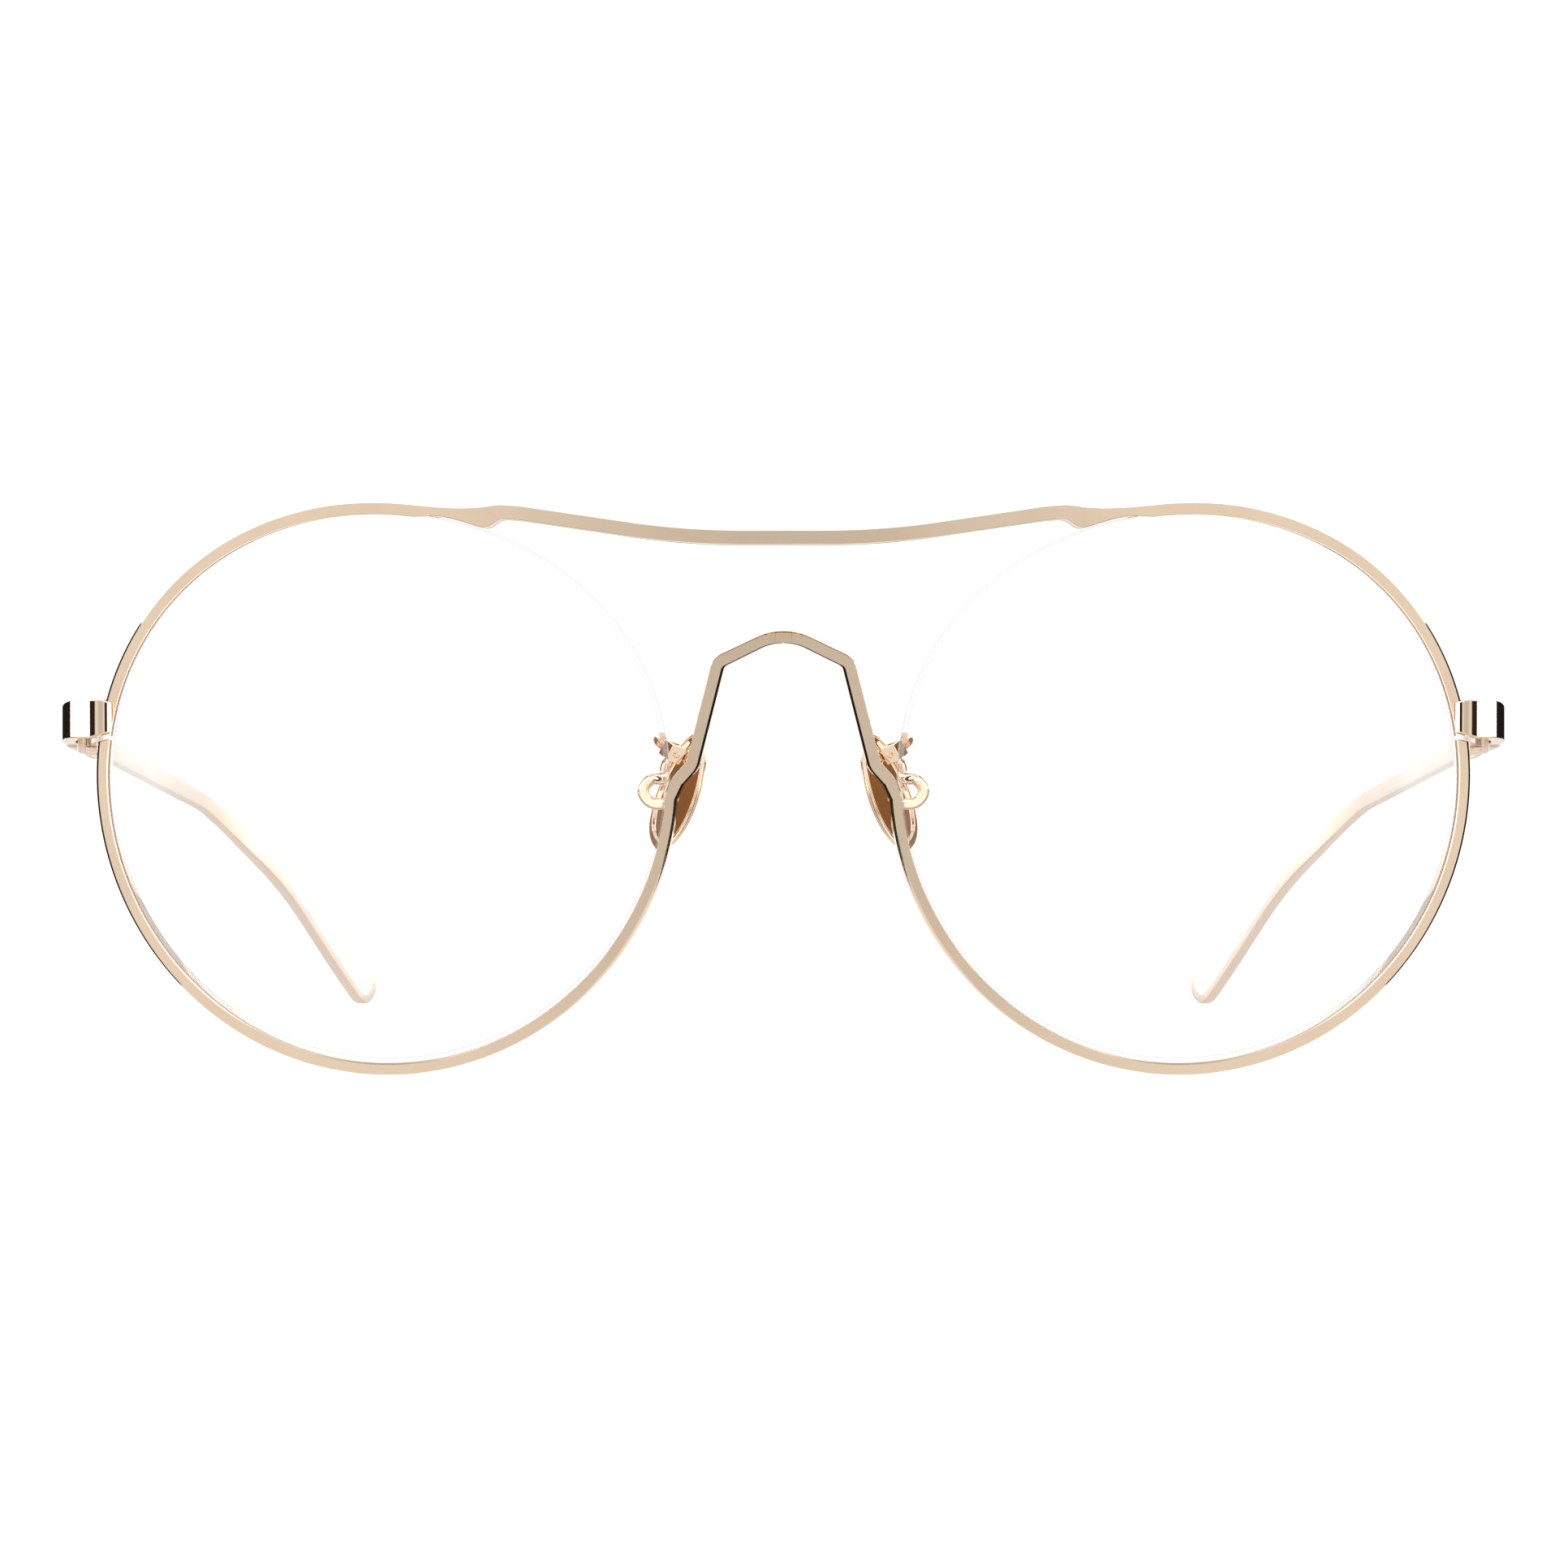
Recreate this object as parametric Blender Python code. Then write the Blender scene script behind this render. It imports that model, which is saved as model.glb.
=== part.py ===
"""Round wire eyeglasses with a double bridge: two flat gold wires, two lenses, screwed nose pads
and folding temples.

Sizes are in millimetres and become metres when a mesh is made.  The front faces -Y and the temples
run to +Y.  A piece is laid out by three numbers: out, the distance from the mid plane towards its
own side, depth, the distance behind the middle of the bridge, and z, the height above the table.
"Left" is the -X side and "right" the +X side.
"""
import math

import bmesh
import bpy
from mathutils import Matrix, Vector

MM = 0.001
LEFT = -1
RIGHT = 1
SIDE_NAMES = {LEFT: "left", RIGHT: "right"}

# Overall layout
HALF_DEPTH = 66.5           # from the middle of the part to the front of the bridge
FLAT_HALF = 3.0             # the middle of both bridges is flat this far out
WRAP_START = 13.8           # from here out, each half of the front is a flat plane
WRAP_ANGLE = math.radians(5.0)

# Lenses: a round outline whose radius is a short Fourier series, (cosine, sine) by harmonic
LENS_OUT = 38.56
LENS_Z = 27.62
LENS_RADIUS = 27.30
LENS_SHAPE = ((-0.095, 0.29), (0.41, -0.21), (0.125, 0.282), (-0.055, 0.05))
LENS_FRONT = 0.47           # depth of the lens edge behind the wire's front face
LENS_LAND = 0.80            # height of the ground edge
LENS_BEVEL = 0.42           # bevel round the back of the lens
LENS_DOME = 2.80
LENS_THICKNESS = 1.60
RIM_STEP = 4.5              # degrees between stations round a lens

# Flat wire
WIRE_DEPTH = 2.20
WIRE_CHAMFER = 0.12
WIRE_LIP = 0.33             # how far the wire covers the lens edge
WIRE_OUTSIDE = 0.78         # how far it stands outside the lens edge
WIRE_CLEAR = 0.13           # clearance between lens and wire
GROOVE_SKIN = 0.35          # wire left in front of and behind the lens groove
UPPER_SPLIT = 169.3         # degrees, the end of the upper wire round the lens
LOWER_SPLIT = 170.1
BROW_LEAVES = 84.0          # where the upper wire stops gripping the lens
BRIDGE_LEAVES = 358.0       # where the lower wire stops gripping the lens

# Brow bar: rows of (out, upper edge, lower edge) through the notch, then a rule for the bar itself
BROW_NOTCH = (
    (33.2, 54.78, 53.95),
    (31.2, 54.68, 53.48),
    (29.8, 54.72, 53.03),
    (29.0, 54.78, 52.82),
    (28.4, 54.86, 52.93),
    (27.7, 54.94, 53.38),
    (27.0, 54.96, 53.62),
)
BAR_HALF = 0.66
BAR_Z = 51.75
BAR_LEVEL = 4.0
BAR_STRAIGHT = 15.0
BAR_SLOPE = 0.153

# Nose bridge: corners of the centre line with the radius that rounds each
BRIDGE_CORNERS = (
    ((10.15, 28.35), 1.2),
    ((8.72, 29.95), 1.8),
    ((6.22, 39.78), 1.3),
    ((0.0, 42.80), 5.5),
)
LEG_HALF = 0.64
ARCH_HALF = 0.58

# Endpiece: a bent block in front of the rim, seen from above as two arcs about one centre
BLOCK_CENTRE = (66.3, 8.50)
BLOCK_OUTER = 4.45
BLOCK_INNER = 3.15
BLOCK_TOE_OUT = 65.25
BLOCK_TOE_FRONT = 4.20
BLOCK_TOE_BACK = 4.76
BLOCK_END = 10.0
BLOCK_HEIGHT = 3.7
BLOCK_TAPER = 0.4
BLOCK_Z = 34.45
BLOCK_SLOPE_FROM = 5.3
BLOCK_SLOPE = math.tan(math.radians(11.5))
TOE_FROM = 67.3             # nearer the middle than this, the block thins towards its toe
TOE_LIFT = 0.55
TOE_DROP = 0.25
TOE_BEVEL = (0.36, 0.30)      # along and behind the block's face, at the toe's front corner
WING_THICKNESS = 0.45
WING_GAP = 0.14
WING_REACH = 67.3           # distance out at which the lower plate ends

# Rim locks behind the rim, and their screw
LOCK_WIDTH = 1.0
LOCK_DEPTH = 1.6
LOCK_FRONT = 7.62
LOCK_UPPER = (66.55, 33.15, 35.9)
LOCK_LOWER = (66.75, 29.9, 32.2)
LOCK_SCREW_OUT = 66.65
LOCK_SCREW_RADIUS = 0.26
LOCK_HOLE_RADIUS = 0.36

# Hinges
HINGE_OUT = 68.2
HINGE_DEPTH = 11.2
HINGE_Z = 33.10
TEMPLE_SLOPE = math.radians(4.7)
KNUCKLE_RADIUS = 0.95
KNUCKLE_SPLIT = 1.35        # half height of the middle knuckle
KNUCKLE_GAP = 0.15
HINGE_HALF = 2.10
HINGE_HOLE = 0.52
HINGE_PIN = 0.40
PLATE_INNER = 0.55
PLATE_OUTER = 1.13
FRONT_LEAF = 2.75            # reach of each leaf from the pin
TEMPLE_LEAF = 4.8

# Temples: corners of the centre line (out, depth, z) with the radius that rounds each
TEMPLE_START = (70.15, 10.3, 33.35)
TEMPLE_CORNERS = (
    ((71.05, 103.0, 25.55), 26.0),
    ((63.05, 118.5, 15.15), 60.0),
)
TEMPLE_END = (54.9, 132.0, 0.62)
TEMPLE_HEIGHTS = ((0.0, 3.30), (10.0, 3.0), (28.0, 2.15), (88.0, 2.05), (104.0, 2.3), (131.0, 4.2))
TEMPLE_THICKNESSES = ((0.0, 1.30), (28.0, 1.10), (95.0, 1.10), (110.0, 1.50), (140.0, 1.50))
TIP_ROUND = 2.2
INLAY_LENGTH = 22.0
INLAY_END = 1.3             # inlay stops this far from the tip
INLAY_BORDER = 0.75
INLAY_SUNK = 0.60
INLAY_PROUD = 0.22

# Nose pads: centre, and the three directions of each pad in (out, depth, z)
PAD_TILT = math.radians(20.0)      # lean of the long axis seen from the front
PAD_SPLAY = math.radians(36.0)     # turn of the contact face towards the back
PAD_CENTRE = Vector((10.15, 8.8, 27.4))
PAD_UP = Vector((-math.sin(PAD_TILT), 0.0, math.cos(PAD_TILT)))
PAD_FACE = Vector((-math.cos(PAD_SPLAY) * math.cos(PAD_TILT), math.sin(PAD_SPLAY),
                   -math.cos(PAD_SPLAY) * math.sin(PAD_TILT)))
PAD_BACK = PAD_FACE.cross(PAD_UP)
PAD_HALF_LENGTH = 6.1
PAD_HALF_WIDTH = 3.4
SCREW_LIFT = math.radians(11.0)    # rise of the pad screw towards its head
SCREW_AXIS = PAD_BACK * math.cos(SCREW_LIFT) + PAD_UP * math.sin(SCREW_LIFT)
BOX_UP = PAD_UP * math.cos(SCREW_LIFT) - PAD_BACK * math.sin(SCREW_LIFT)
PAD_BOSS_UP = 3.4
PAD_BOX_OFF = 2.5           # screw axis to the pad's middle plane
BOX_SIZE = (1.9, 1.75, 1.7)  # along the screw, along the pad, off the pad
TAB_THICKNESS = 0.55
TAB_WIDTH = 1.10
SLOT_WIDTH = 0.95
PAD_PIN = 0.28
PAD_HOLE = 0.40
ARM_RADIUS = 0.55
ARM_POINTS = (
    (10.85, 2.95, 26.6),
    (11.3, 3.9, 26.2),
    (12.9, 4.7, 26.3),
    (13.7, 5.0, 27.35),
    (13.0, 5.5, 28.5),
    (11.9, 6.3, 28.7),
)

GOLD = (0.76, 0.60, 0.46)
POLISHED = (0.82, 0.66, 0.50)
DARK_GOLD = (0.62, 0.44, 0.28)


# ---------------------------------------------------------------- small geometry helpers
def clear_scene():
    """Remove everything that is in the scene."""
    for thing in list(bpy.data.objects):
        bpy.data.objects.remove(thing, do_unlink=True)


def place(side, out, depth, z):
    """World point in metres of a layout point in millimetres."""
    return Vector((side * out, depth - HALF_DEPTH, z)) * MM


def direction(side, vector):
    """World direction of a layout direction."""
    return Vector((side * vector[0], vector[1], vector[2]))


def interpolate(table, value):
    """Read a table of (position, number) rows with a smooth step between rows."""
    if value <= table[0][0]:
        return table[0][1]
    for (low, first), (high, last) in zip(table, table[1:]):
        if value <= high:
            part = (value - low) / (high - low)
            part = part * part * (3.0 - 2.0 * part)
            return first + (last - first) * part
    return table[-1][1]


def rounded_path(points, radii, arc_step=math.radians(9.0)):
    """Points of a polyline whose inner corners are rounded to the given radii."""
    vectors = [Vector(p) for p in points]
    path = [vectors[0]]
    for i, radius in enumerate(radii, start=1):
        corner = vectors[i]
        before = (vectors[i - 1] - corner).normalized()
        after = (vectors[i + 1] - corner).normalized()
        half = before.angle(after) / 2.0
        turn = math.pi - 2.0 * half
        centre = corner + (before + after).normalized() * (radius / math.sin(half))
        first = corner + before * (radius / math.tan(half)) - centre
        last = corner + after * (radius / math.tan(half)) - centre
        steps = max(2, round(turn / arc_step))
        for k in range(steps + 1):
            part = k / steps
            spoke = first * math.sin((1.0 - part) * turn) + last * math.sin(part * turn)
            path.append(centre + spoke / math.sin(turn))
    path.append(vectors[-1])
    return path


def smooth_curve(points, steps):
    """Points of a Catmull-Rom curve through the given points."""
    vectors = [Vector(p) for p in points]
    ends = [2 * vectors[0] - vectors[1]] + vectors + [2 * vectors[-1] - vectors[-2]]
    curve = []
    for i in range(1, len(ends) - 2):
        a, b, c, d = ends[i - 1:i + 3]
        for k in range(steps):
            t = k / steps
            curve.append(0.5 * (2 * b + (c - a) * t + (2 * a - 5 * b + 4 * c - d) * t * t
                                + (3 * b - a - 3 * c + d) * t ** 3))
    curve.append(vectors[-1])
    return curve


# ---------------------------------------------------------------- mesh helpers
def make_material(name, colour, roughness, metallic, alpha=1.0):
    """A Principled material of the given finish."""
    material = bpy.data.materials.new(name)
    material.use_nodes = True
    shader = material.node_tree.nodes["Principled BSDF"]
    shader.inputs["Base Color"].default_value = (*colour, 1.0)
    shader.inputs["Roughness"].default_value = roughness
    shader.inputs["Metallic"].default_value = metallic
    shader.inputs["Alpha"].default_value = alpha
    return material


def add_object(name, mesh_builder, material, sharp_angle=30.0):
    """Turn a bmesh into a named object, smooth apart from its sharp edges."""
    bmesh.ops.recalc_face_normals(mesh_builder, faces=mesh_builder.faces)
    mesh = bpy.data.meshes.new(name)
    mesh_builder.to_mesh(mesh)
    mesh_builder.free()
    mesh.shade_smooth()
    mesh.set_sharp_from_angle(angle=math.radians(sharp_angle))
    thing = bpy.data.objects.new(name, mesh)
    bpy.context.scene.collection.objects.link(thing)
    mesh.materials.append(material)
    return thing


def loft(rings, first_pole=None, last_pole=None):
    """A closed skin over rings of points, with flat caps or a point at each end."""
    builder = bmesh.new()
    rows = [[builder.verts.new(p) for p in ring] for ring in rings]
    for row, following in zip(rows, rows[1:]):
        count = len(row)
        for k in range(count):
            n = (k + 1) % count
            builder.faces.new((row[k], row[n], following[n], following[k]))
    for row, pole in ((rows[0], first_pole), (rows[-1], last_pole)):
        if pole is None:
            builder.faces.new(row)
            continue
        tip = builder.verts.new(pole)
        for k in range(len(row)):
            builder.faces.new((row[k], row[(k + 1) % len(row)], tip))
    return builder


def block(centre, axes, sizes):
    """A box from its centre, three unit directions and three full sizes in millimetres."""
    rings = []
    for end in (-0.5, 0.5):
        ring = []
        for a, b in ((-0.5, -0.5), (0.5, -0.5), (0.5, 0.5), (-0.5, 0.5)):
            offset = axes[0] * sizes[0] * a + axes[1] * sizes[1] * b + axes[2] * sizes[2] * end
            ring.append(centre + offset * MM)
        rings.append(ring)
    return loft(rings)


def turned(start, axis, profile, sides=14):
    """A turned piece: profile is rows of (distance along the axis, radius) in millimetres."""
    axis = axis.normalized()
    across = axis.orthogonal().normalized()
    other = axis.cross(across)
    rings = []
    for along, radius in profile:
        ring = []
        for k in range(sides):
            angle = 2.0 * math.pi * k / sides
            spoke = across * math.cos(angle) + other * math.sin(angle)
            ring.append(start + (axis * along + spoke * radius) * MM)
        rings.append(ring)
    return loft(rings)


def extruded(outline, low, high):
    """A prism: outline is a list of points, low and high are functions that lift a point."""
    return loft([[low(p) for p in outline], [high(p) for p in outline]])


def cutter(name, builder):
    """A hidden tool object for a Boolean."""
    bmesh.ops.recalc_face_normals(builder, faces=builder.faces)
    mesh = bpy.data.meshes.new(name)
    builder.to_mesh(mesh)
    builder.free()
    tool = bpy.data.objects.new(name, mesh)
    bpy.context.scene.collection.objects.link(tool)
    tool.hide_render = True
    tool.display_type = "WIRE"
    return tool


def combine(thing, tool, operation):
    """Cut a tool from an object, or join it on."""
    modifier = thing.modifiers.new(tool.name, "BOOLEAN")
    modifier.object = tool
    modifier.operation = operation
    modifier.solver = "EXACT"


# ---------------------------------------------------------------- the front's curved layout
def front_depth(out):
    """Depth of the wire's front face, and its slope as an angle, at a distance from the middle."""
    if out <= FLAT_HALF:
        return 0.0, 0.0
    reach = WRAP_START - FLAT_HALF
    slope = math.tan(WRAP_ANGLE)
    if out < WRAP_START:
        part = (out - FLAT_HALF) / reach
        return slope * reach * part * part / 2.0, math.atan(slope * part)
    return slope * (reach / 2.0 + out - WRAP_START), WRAP_ANGLE


def on_front(side, out, z, behind):
    """World point at a distance behind the wire's front face, measured square to the face."""
    depth, angle = front_depth(out)
    return place(side, out - behind * math.sin(angle), depth + behind * math.cos(angle), z)


def lens_radius(angle):
    """Radius of the lens outline; angle 0 points to the nose and 90 degrees up."""
    radius = LENS_RADIUS
    for harmonic, (cosine, sine) in enumerate(LENS_SHAPE, start=1):
        radius += cosine * math.cos(harmonic * angle) + sine * math.sin(harmonic * angle)
    return radius


def lens_point(degrees, offset):
    """(out, z) of a point outside the lens outline by an offset."""
    angle = math.radians(degrees)
    radius = lens_radius(angle)
    turn = math.atan2(lens_radius(angle + 0.01) - lens_radius(angle - 0.01), 0.02 * radius)
    x = radius * math.cos(angle) + offset * math.cos(angle - turn)
    z = radius * math.sin(angle) + offset * math.sin(angle - turn)
    return Vector((LENS_OUT - math.cos(WRAP_ANGLE) * x, LENS_Z + z))


def wire_ring(side, inner, outer, groove):
    """Ring of points round the flat wire's section, from its inner and outer edge."""
    across = (outer - inner).normalized()
    back_skin = WIRE_DEPTH - GROOVE_SKIN
    section = (
        (inner, WIRE_CHAMFER),
        (inner + across * WIRE_CHAMFER, 0.0),
        (outer - across * WIRE_CHAMFER, 0.0),
        (outer, WIRE_CHAMFER),
        (outer, WIRE_DEPTH),
        (inner, WIRE_DEPTH),
        (inner, back_skin),
        (inner + across * groove, back_skin),
        (inner + across * groove, GROOVE_SKIN),
        (inner, GROOVE_SKIN),
    )
    return [on_front(side, point[0], point[1], behind) for point, behind in section]


def rim_stations(first, last):
    """Stations (inner edge, outer edge, groove depth) of the wire round a lens."""
    count = max(1, round(abs(last - first) / RIM_STEP))
    stations = []
    for k in range(count + 1):
        degrees = first + (last - first) * k / count
        inner = lens_point(degrees, -WIRE_LIP)
        outer = lens_point(degrees, WIRE_OUTSIDE)
        stations.append((inner, outer, WIRE_LIP + WIRE_CLEAR))
    return stations


def bar_height(out):
    """Height of the brow bar's centre line."""
    if out <= BAR_LEVEL:
        return BAR_Z
    reach = BAR_STRAIGHT - BAR_LEVEL
    if out <= BAR_STRAIGHT:
        return BAR_Z + BAR_SLOPE * (out - BAR_LEVEL) ** 2 / (2.0 * reach)
    return BAR_Z + BAR_SLOPE * (out - BAR_STRAIGHT + reach / 2.0)


def brow_stations():
    """Stations of half of the upper wire, from its split to the middle."""
    shallow = 0.03
    stations = rim_stations(UPPER_SPLIT, BROW_LEAVES)
    for out, top, bottom in BROW_NOTCH:
        stations.append((Vector((out, bottom)), Vector((out, top)), shallow))
    for out in (25.0, 20.0, 15.0, 12.0, 9.0, 6.0, 3.0, 0.0):
        z = bar_height(out)
        stations.append((Vector((out, z - BAR_HALF)), Vector((out, z + BAR_HALF)), shallow))
    return stations


def bridge_stations():
    """Stations of half of the lower wire, from its split to the middle."""
    shallow = 0.03
    stations = rim_stations(LOWER_SPLIT, BRIDGE_LEAVES)
    start = (stations[-1][0] + stations[-1][1]) / 2.0
    corners = [corner for corner, radius in BRIDGE_CORNERS]
    radii = [radius for corner, radius in BRIDGE_CORNERS]
    mirrored = Vector((-corners[-2][0], corners[-2][1]))
    path = rounded_path([start] + corners + [mirrored], radii, math.radians(11.0))
    path = [point for point in path[1:-1] if point.x > 0.05]
    path.append(Vector((0.0, BRIDGE_CORNERS[-1][0][1] - arch_drop())))
    for i, point in enumerate(path):
        before = path[i - 1] if i else start
        after = path[i + 1] if i + 1 < len(path) else Vector((-path[i - 1].x, path[i - 1].y))
        along = (after - before).normalized()
        normal = Vector((along.y, -along.x))
        half = LEG_HALF + (ARCH_HALF - LEG_HALF) * min(1.0, max(0.0, (point.y - 39.0) / 2.0))
        stations.append((point + normal * half, point - normal * half, shallow))
    return stations


def arch_drop():
    """How far the rounding lowers the top of the nose bridge below its corner."""
    (low_out, low_z), top_z = BRIDGE_CORNERS[-2][0], BRIDGE_CORNERS[-1][0][1]
    slope = math.atan2(top_z - low_z, low_out)
    return BRIDGE_CORNERS[-1][1] * (1.0 / math.cos(slope) - 1.0)


def make_wire(name, stations, material):
    """A flat wire from the left split to the right split, over stations of one half."""
    rings = [wire_ring(LEFT, *station) for station in stations]
    rings += [wire_ring(RIGHT, *station) for station in reversed(stations[:-1])]
    return add_object(name, loft(rings), material, 25.0)


# ---------------------------------------------------------------- lenses
def make_lens(side, material):
    """A domed lens with a ground edge and a bevel round its back."""
    count = round(360.0 / RIM_STEP)
    back_edge = LENS_FRONT + LENS_LAND + LENS_BEVEL
    front_pole = LENS_FRONT - LENS_DOME
    back_dome = back_edge - (front_pole + LENS_THICKNESS)

    def ring(part, inset, behind):
        points = []
        for k in range(count):
            edge = lens_point(360.0 * k / count, -inset)
            centre = Vector((LENS_OUT, LENS_Z))
            point = centre + (edge - centre) * part
            points.append(on_front(side, point.x, point.y, behind))
        return points

    fronts = [ring(f, 0.0, LENS_FRONT - LENS_DOME * (1.0 - f * f)) for f in (0.35, 0.7, 1.0)]
    edges = [ring(1.0, 0.0, LENS_FRONT + LENS_LAND)]
    backs = [ring(f, LENS_BEVEL, back_edge - back_dome * (1.0 - f * f)) for f in (1.0, 0.7, 0.35)]
    first = on_front(side, LENS_OUT, LENS_Z, front_pole)
    last = on_front(side, LENS_OUT, LENS_Z, front_pole + LENS_THICKNESS)
    builder = loft(fronts + edges + backs, first, last)
    return add_object(SIDE_NAMES[side] + "_lens", builder, material, 30.0)


# ---------------------------------------------------------------- endpieces
def block_outline(end, toe, inset=0.0):
    """Outline of the bent block seen from above, as (out, depth) points."""
    cx, cy = BLOCK_CENTRE
    outer = BLOCK_OUTER - inset
    front = BLOCK_TOE_FRONT + inset
    points = [(toe, front + TOE_BEVEL[1]), (toe + TOE_BEVEL[0], front), (cx, cy - outer)]
    for degrees in range(-80, 1, 10):
        angle = math.radians(degrees)
        points.append((cx + outer * math.cos(angle), cy + outer * math.sin(angle)))
    points.append((cx + outer, end))
    points.append((cx + BLOCK_INNER, end))
    for degrees in range(0, -76, -15):
        angle = math.radians(degrees)
        points.append((cx + BLOCK_INNER * math.cos(angle), cy + BLOCK_INNER * math.sin(angle)))
    points.append((cx + 0.55, BLOCK_TOE_BACK + 0.14))
    points.append((toe, BLOCK_TOE_BACK))
    return points


def block_middle(depth):
    """Height of the endpiece's middle, which runs downhill to the hinge."""
    return BLOCK_Z - BLOCK_SLOPE * max(0.0, depth - BLOCK_SLOPE_FROM)


def block_levels(out, depth):
    """Heights of the endpiece's underside and top at a point of its plan."""
    part = min(1.0, max(0.0, (depth - BLOCK_SLOPE_FROM) / (BLOCK_END - BLOCK_SLOPE_FROM)))
    half = (BLOCK_HEIGHT - BLOCK_TAPER * part) / 2.0
    toe = max(0.0, (TOE_FROM - out) / (TOE_FROM - BLOCK_TOE_OUT)) if depth < BLOCK_SLOPE_FROM else 0.0
    middle = block_middle(depth)
    return middle - half + TOE_LIFT * toe, middle + half - TOE_DROP * toe * toe


def make_endpiece(side, material):
    """The bent block that joins the rim to the hinge, with softened edges."""
    outline = block_outline(BLOCK_END, BLOCK_TOE_OUT)

    def lift(level):
        return lambda p: place(side, p[0], p[1], block_levels(*p)[level])

    thing = add_object(SIDE_NAMES[side] + "_endpiece", extruded(outline, lift(0), lift(1)),
                       material, 25.0)
    bevel = thing.modifiers.new("soft_edges", "BEVEL")
    bevel.width = 0.16 * MM
    bevel.segments = 1
    bevel.limit_method = "ANGLE"
    bevel.angle_limit = math.radians(50.0)
    return thing


def make_wing(side, material):
    """The thin lower plate of the rim closure, under the endpiece."""
    whole = block_outline(BLOCK_END, BLOCK_TOE_OUT + 0.15, 0.25)
    outline = [p for p in whole if p[0] <= WING_REACH and p[1] < BLOCK_SLOPE_FROM]

    def lift(drop):
        return lambda p: place(side, p[0], p[1], block_levels(*p)[0] - drop)

    builder = extruded(outline, lift(WING_GAP + WING_THICKNESS), lift(WING_GAP))
    return add_object(SIDE_NAMES[side] + "_closure_wing", builder, material, 25.0)


# ---------------------------------------------------------------- rim locks
def front_axes(side):
    """Across, back and up directions of the wrapped front plane."""
    across = direction(side, (math.cos(WRAP_ANGLE), math.sin(WRAP_ANGLE), 0.0))
    back = direction(side, (-math.sin(WRAP_ANGLE), math.cos(WRAP_ANGLE), 0.0))
    return across, back, Vector((0.0, 0.0, 1.0))


def make_rim_lock(side, label, shape, material, screw_hole):
    """One half of the block that closes the rim round the lens."""
    out, low, high = shape
    centre = place(side, out, LOCK_FRONT + LOCK_DEPTH / 2.0, (low + high) / 2.0)
    builder = block(centre, front_axes(side), (LOCK_WIDTH, LOCK_DEPTH, high - low))
    thing = add_object(SIDE_NAMES[side] + label, builder, material)
    combine(thing, screw_hole, "DIFFERENCE")
    return thing


def lock_screw_base(side):
    """Bottom of the rim lock screw's axis, level with the underside of the lower lock."""
    return place(side, LOCK_SCREW_OUT, LOCK_FRONT + LOCK_DEPTH / 2.0, LOCK_LOWER[1])


def make_lock_screw(side, material):
    """The screw that pulls the two rim locks together, head down."""
    profile = ((-0.75, 0.50), (-0.65, 0.62), (-0.2, 0.62), (-0.2, LOCK_SCREW_RADIUS),
               (6.6, LOCK_SCREW_RADIUS))
    builder = turned(lock_screw_base(side), Vector((0.0, 0.0, 1.0)), profile, 12)
    return add_object(SIDE_NAMES[side] + "_rim_screw", builder, material)


def lock_hole(side):
    """Cutter for the rim lock screw's hole, blind in the upper lock."""
    profile = ((-1.0, LOCK_HOLE_RADIUS), (6.9, LOCK_HOLE_RADIUS))
    builder = turned(lock_screw_base(side), Vector((0.0, 0.0, 1.0)), profile, 12)
    return cutter(SIDE_NAMES[side] + "_rim_screw_hole", builder)


# ---------------------------------------------------------------- hinges
def hinge_axes(side):
    """Outward, back and up directions of the hinge; up is the pin's direction."""
    outward = direction(side, (1.0, 0.0, 0.0))
    back = Vector((0.0, math.cos(TEMPLE_SLOPE), -math.sin(TEMPLE_SLOPE)))
    up = Vector((0.0, math.sin(TEMPLE_SLOPE), math.cos(TEMPLE_SLOPE)))
    return outward, back, up


def hinge_point(side, outward, back, up):
    """World point from distances along the hinge's own directions."""
    axes = hinge_axes(side)
    origin = place(side, HINGE_OUT, HINGE_DEPTH, HINGE_Z)
    return origin + (axes[0] * outward + axes[1] * back + axes[2] * up) * MM


def leaf_outline(length):
    """Plan of a hinge leaf: a plate beside a round knuckle at the origin, running to +length."""
    points = [(PLATE_OUTER, length), (PLATE_OUTER, 1.25)]
    for degrees in range(25, -271, -20):
        angle = math.radians(degrees)
        points.append((KNUCKLE_RADIUS * math.cos(angle), KNUCKLE_RADIUS * math.sin(angle)))
    points.append((PLATE_INNER, 1.35))
    points.append((PLATE_INNER, length))
    return points


def leaf_cutter(side, name, low, high):
    """Cutter that clears a slice of a leaf's knuckle for the other leaf."""
    reach = KNUCKLE_RADIUS + 0.25
    centre = hinge_point(side, 0.0, 0.0, (low + high) / 2.0)
    width = 2.0 * (KNUCKLE_RADIUS + 0.6)
    return cutter(name, block(centre, hinge_axes(side), (width, 2.0 * reach, high - low)))


def make_leaf(side, label, towards, length, slices, material):
    """A hinge leaf; towards is -1 for the front's leaf and 1 for the temple's."""
    outline = leaf_outline(length)
    builder = extruded(
        outline,
        lambda p: hinge_point(side, p[0], towards * p[1], -HINGE_HALF),
        lambda p: hinge_point(side, p[0], towards * p[1], HINGE_HALF))
    name = SIDE_NAMES[side] + label
    thing = add_object(name, builder, material)
    up = hinge_axes(side)[2]
    hole = turned(hinge_point(side, 0.0, 0.0, -3.0), up, ((0.0, HINGE_HOLE), (6.0, HINGE_HOLE)), 14)
    combine(thing, cutter(name + "_hole", hole), "DIFFERENCE")
    for k, (low, high) in enumerate(slices):
        combine(thing, leaf_cutter(side, name + "_slice_%d" % k, low, high), "DIFFERENCE")
    return thing


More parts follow.
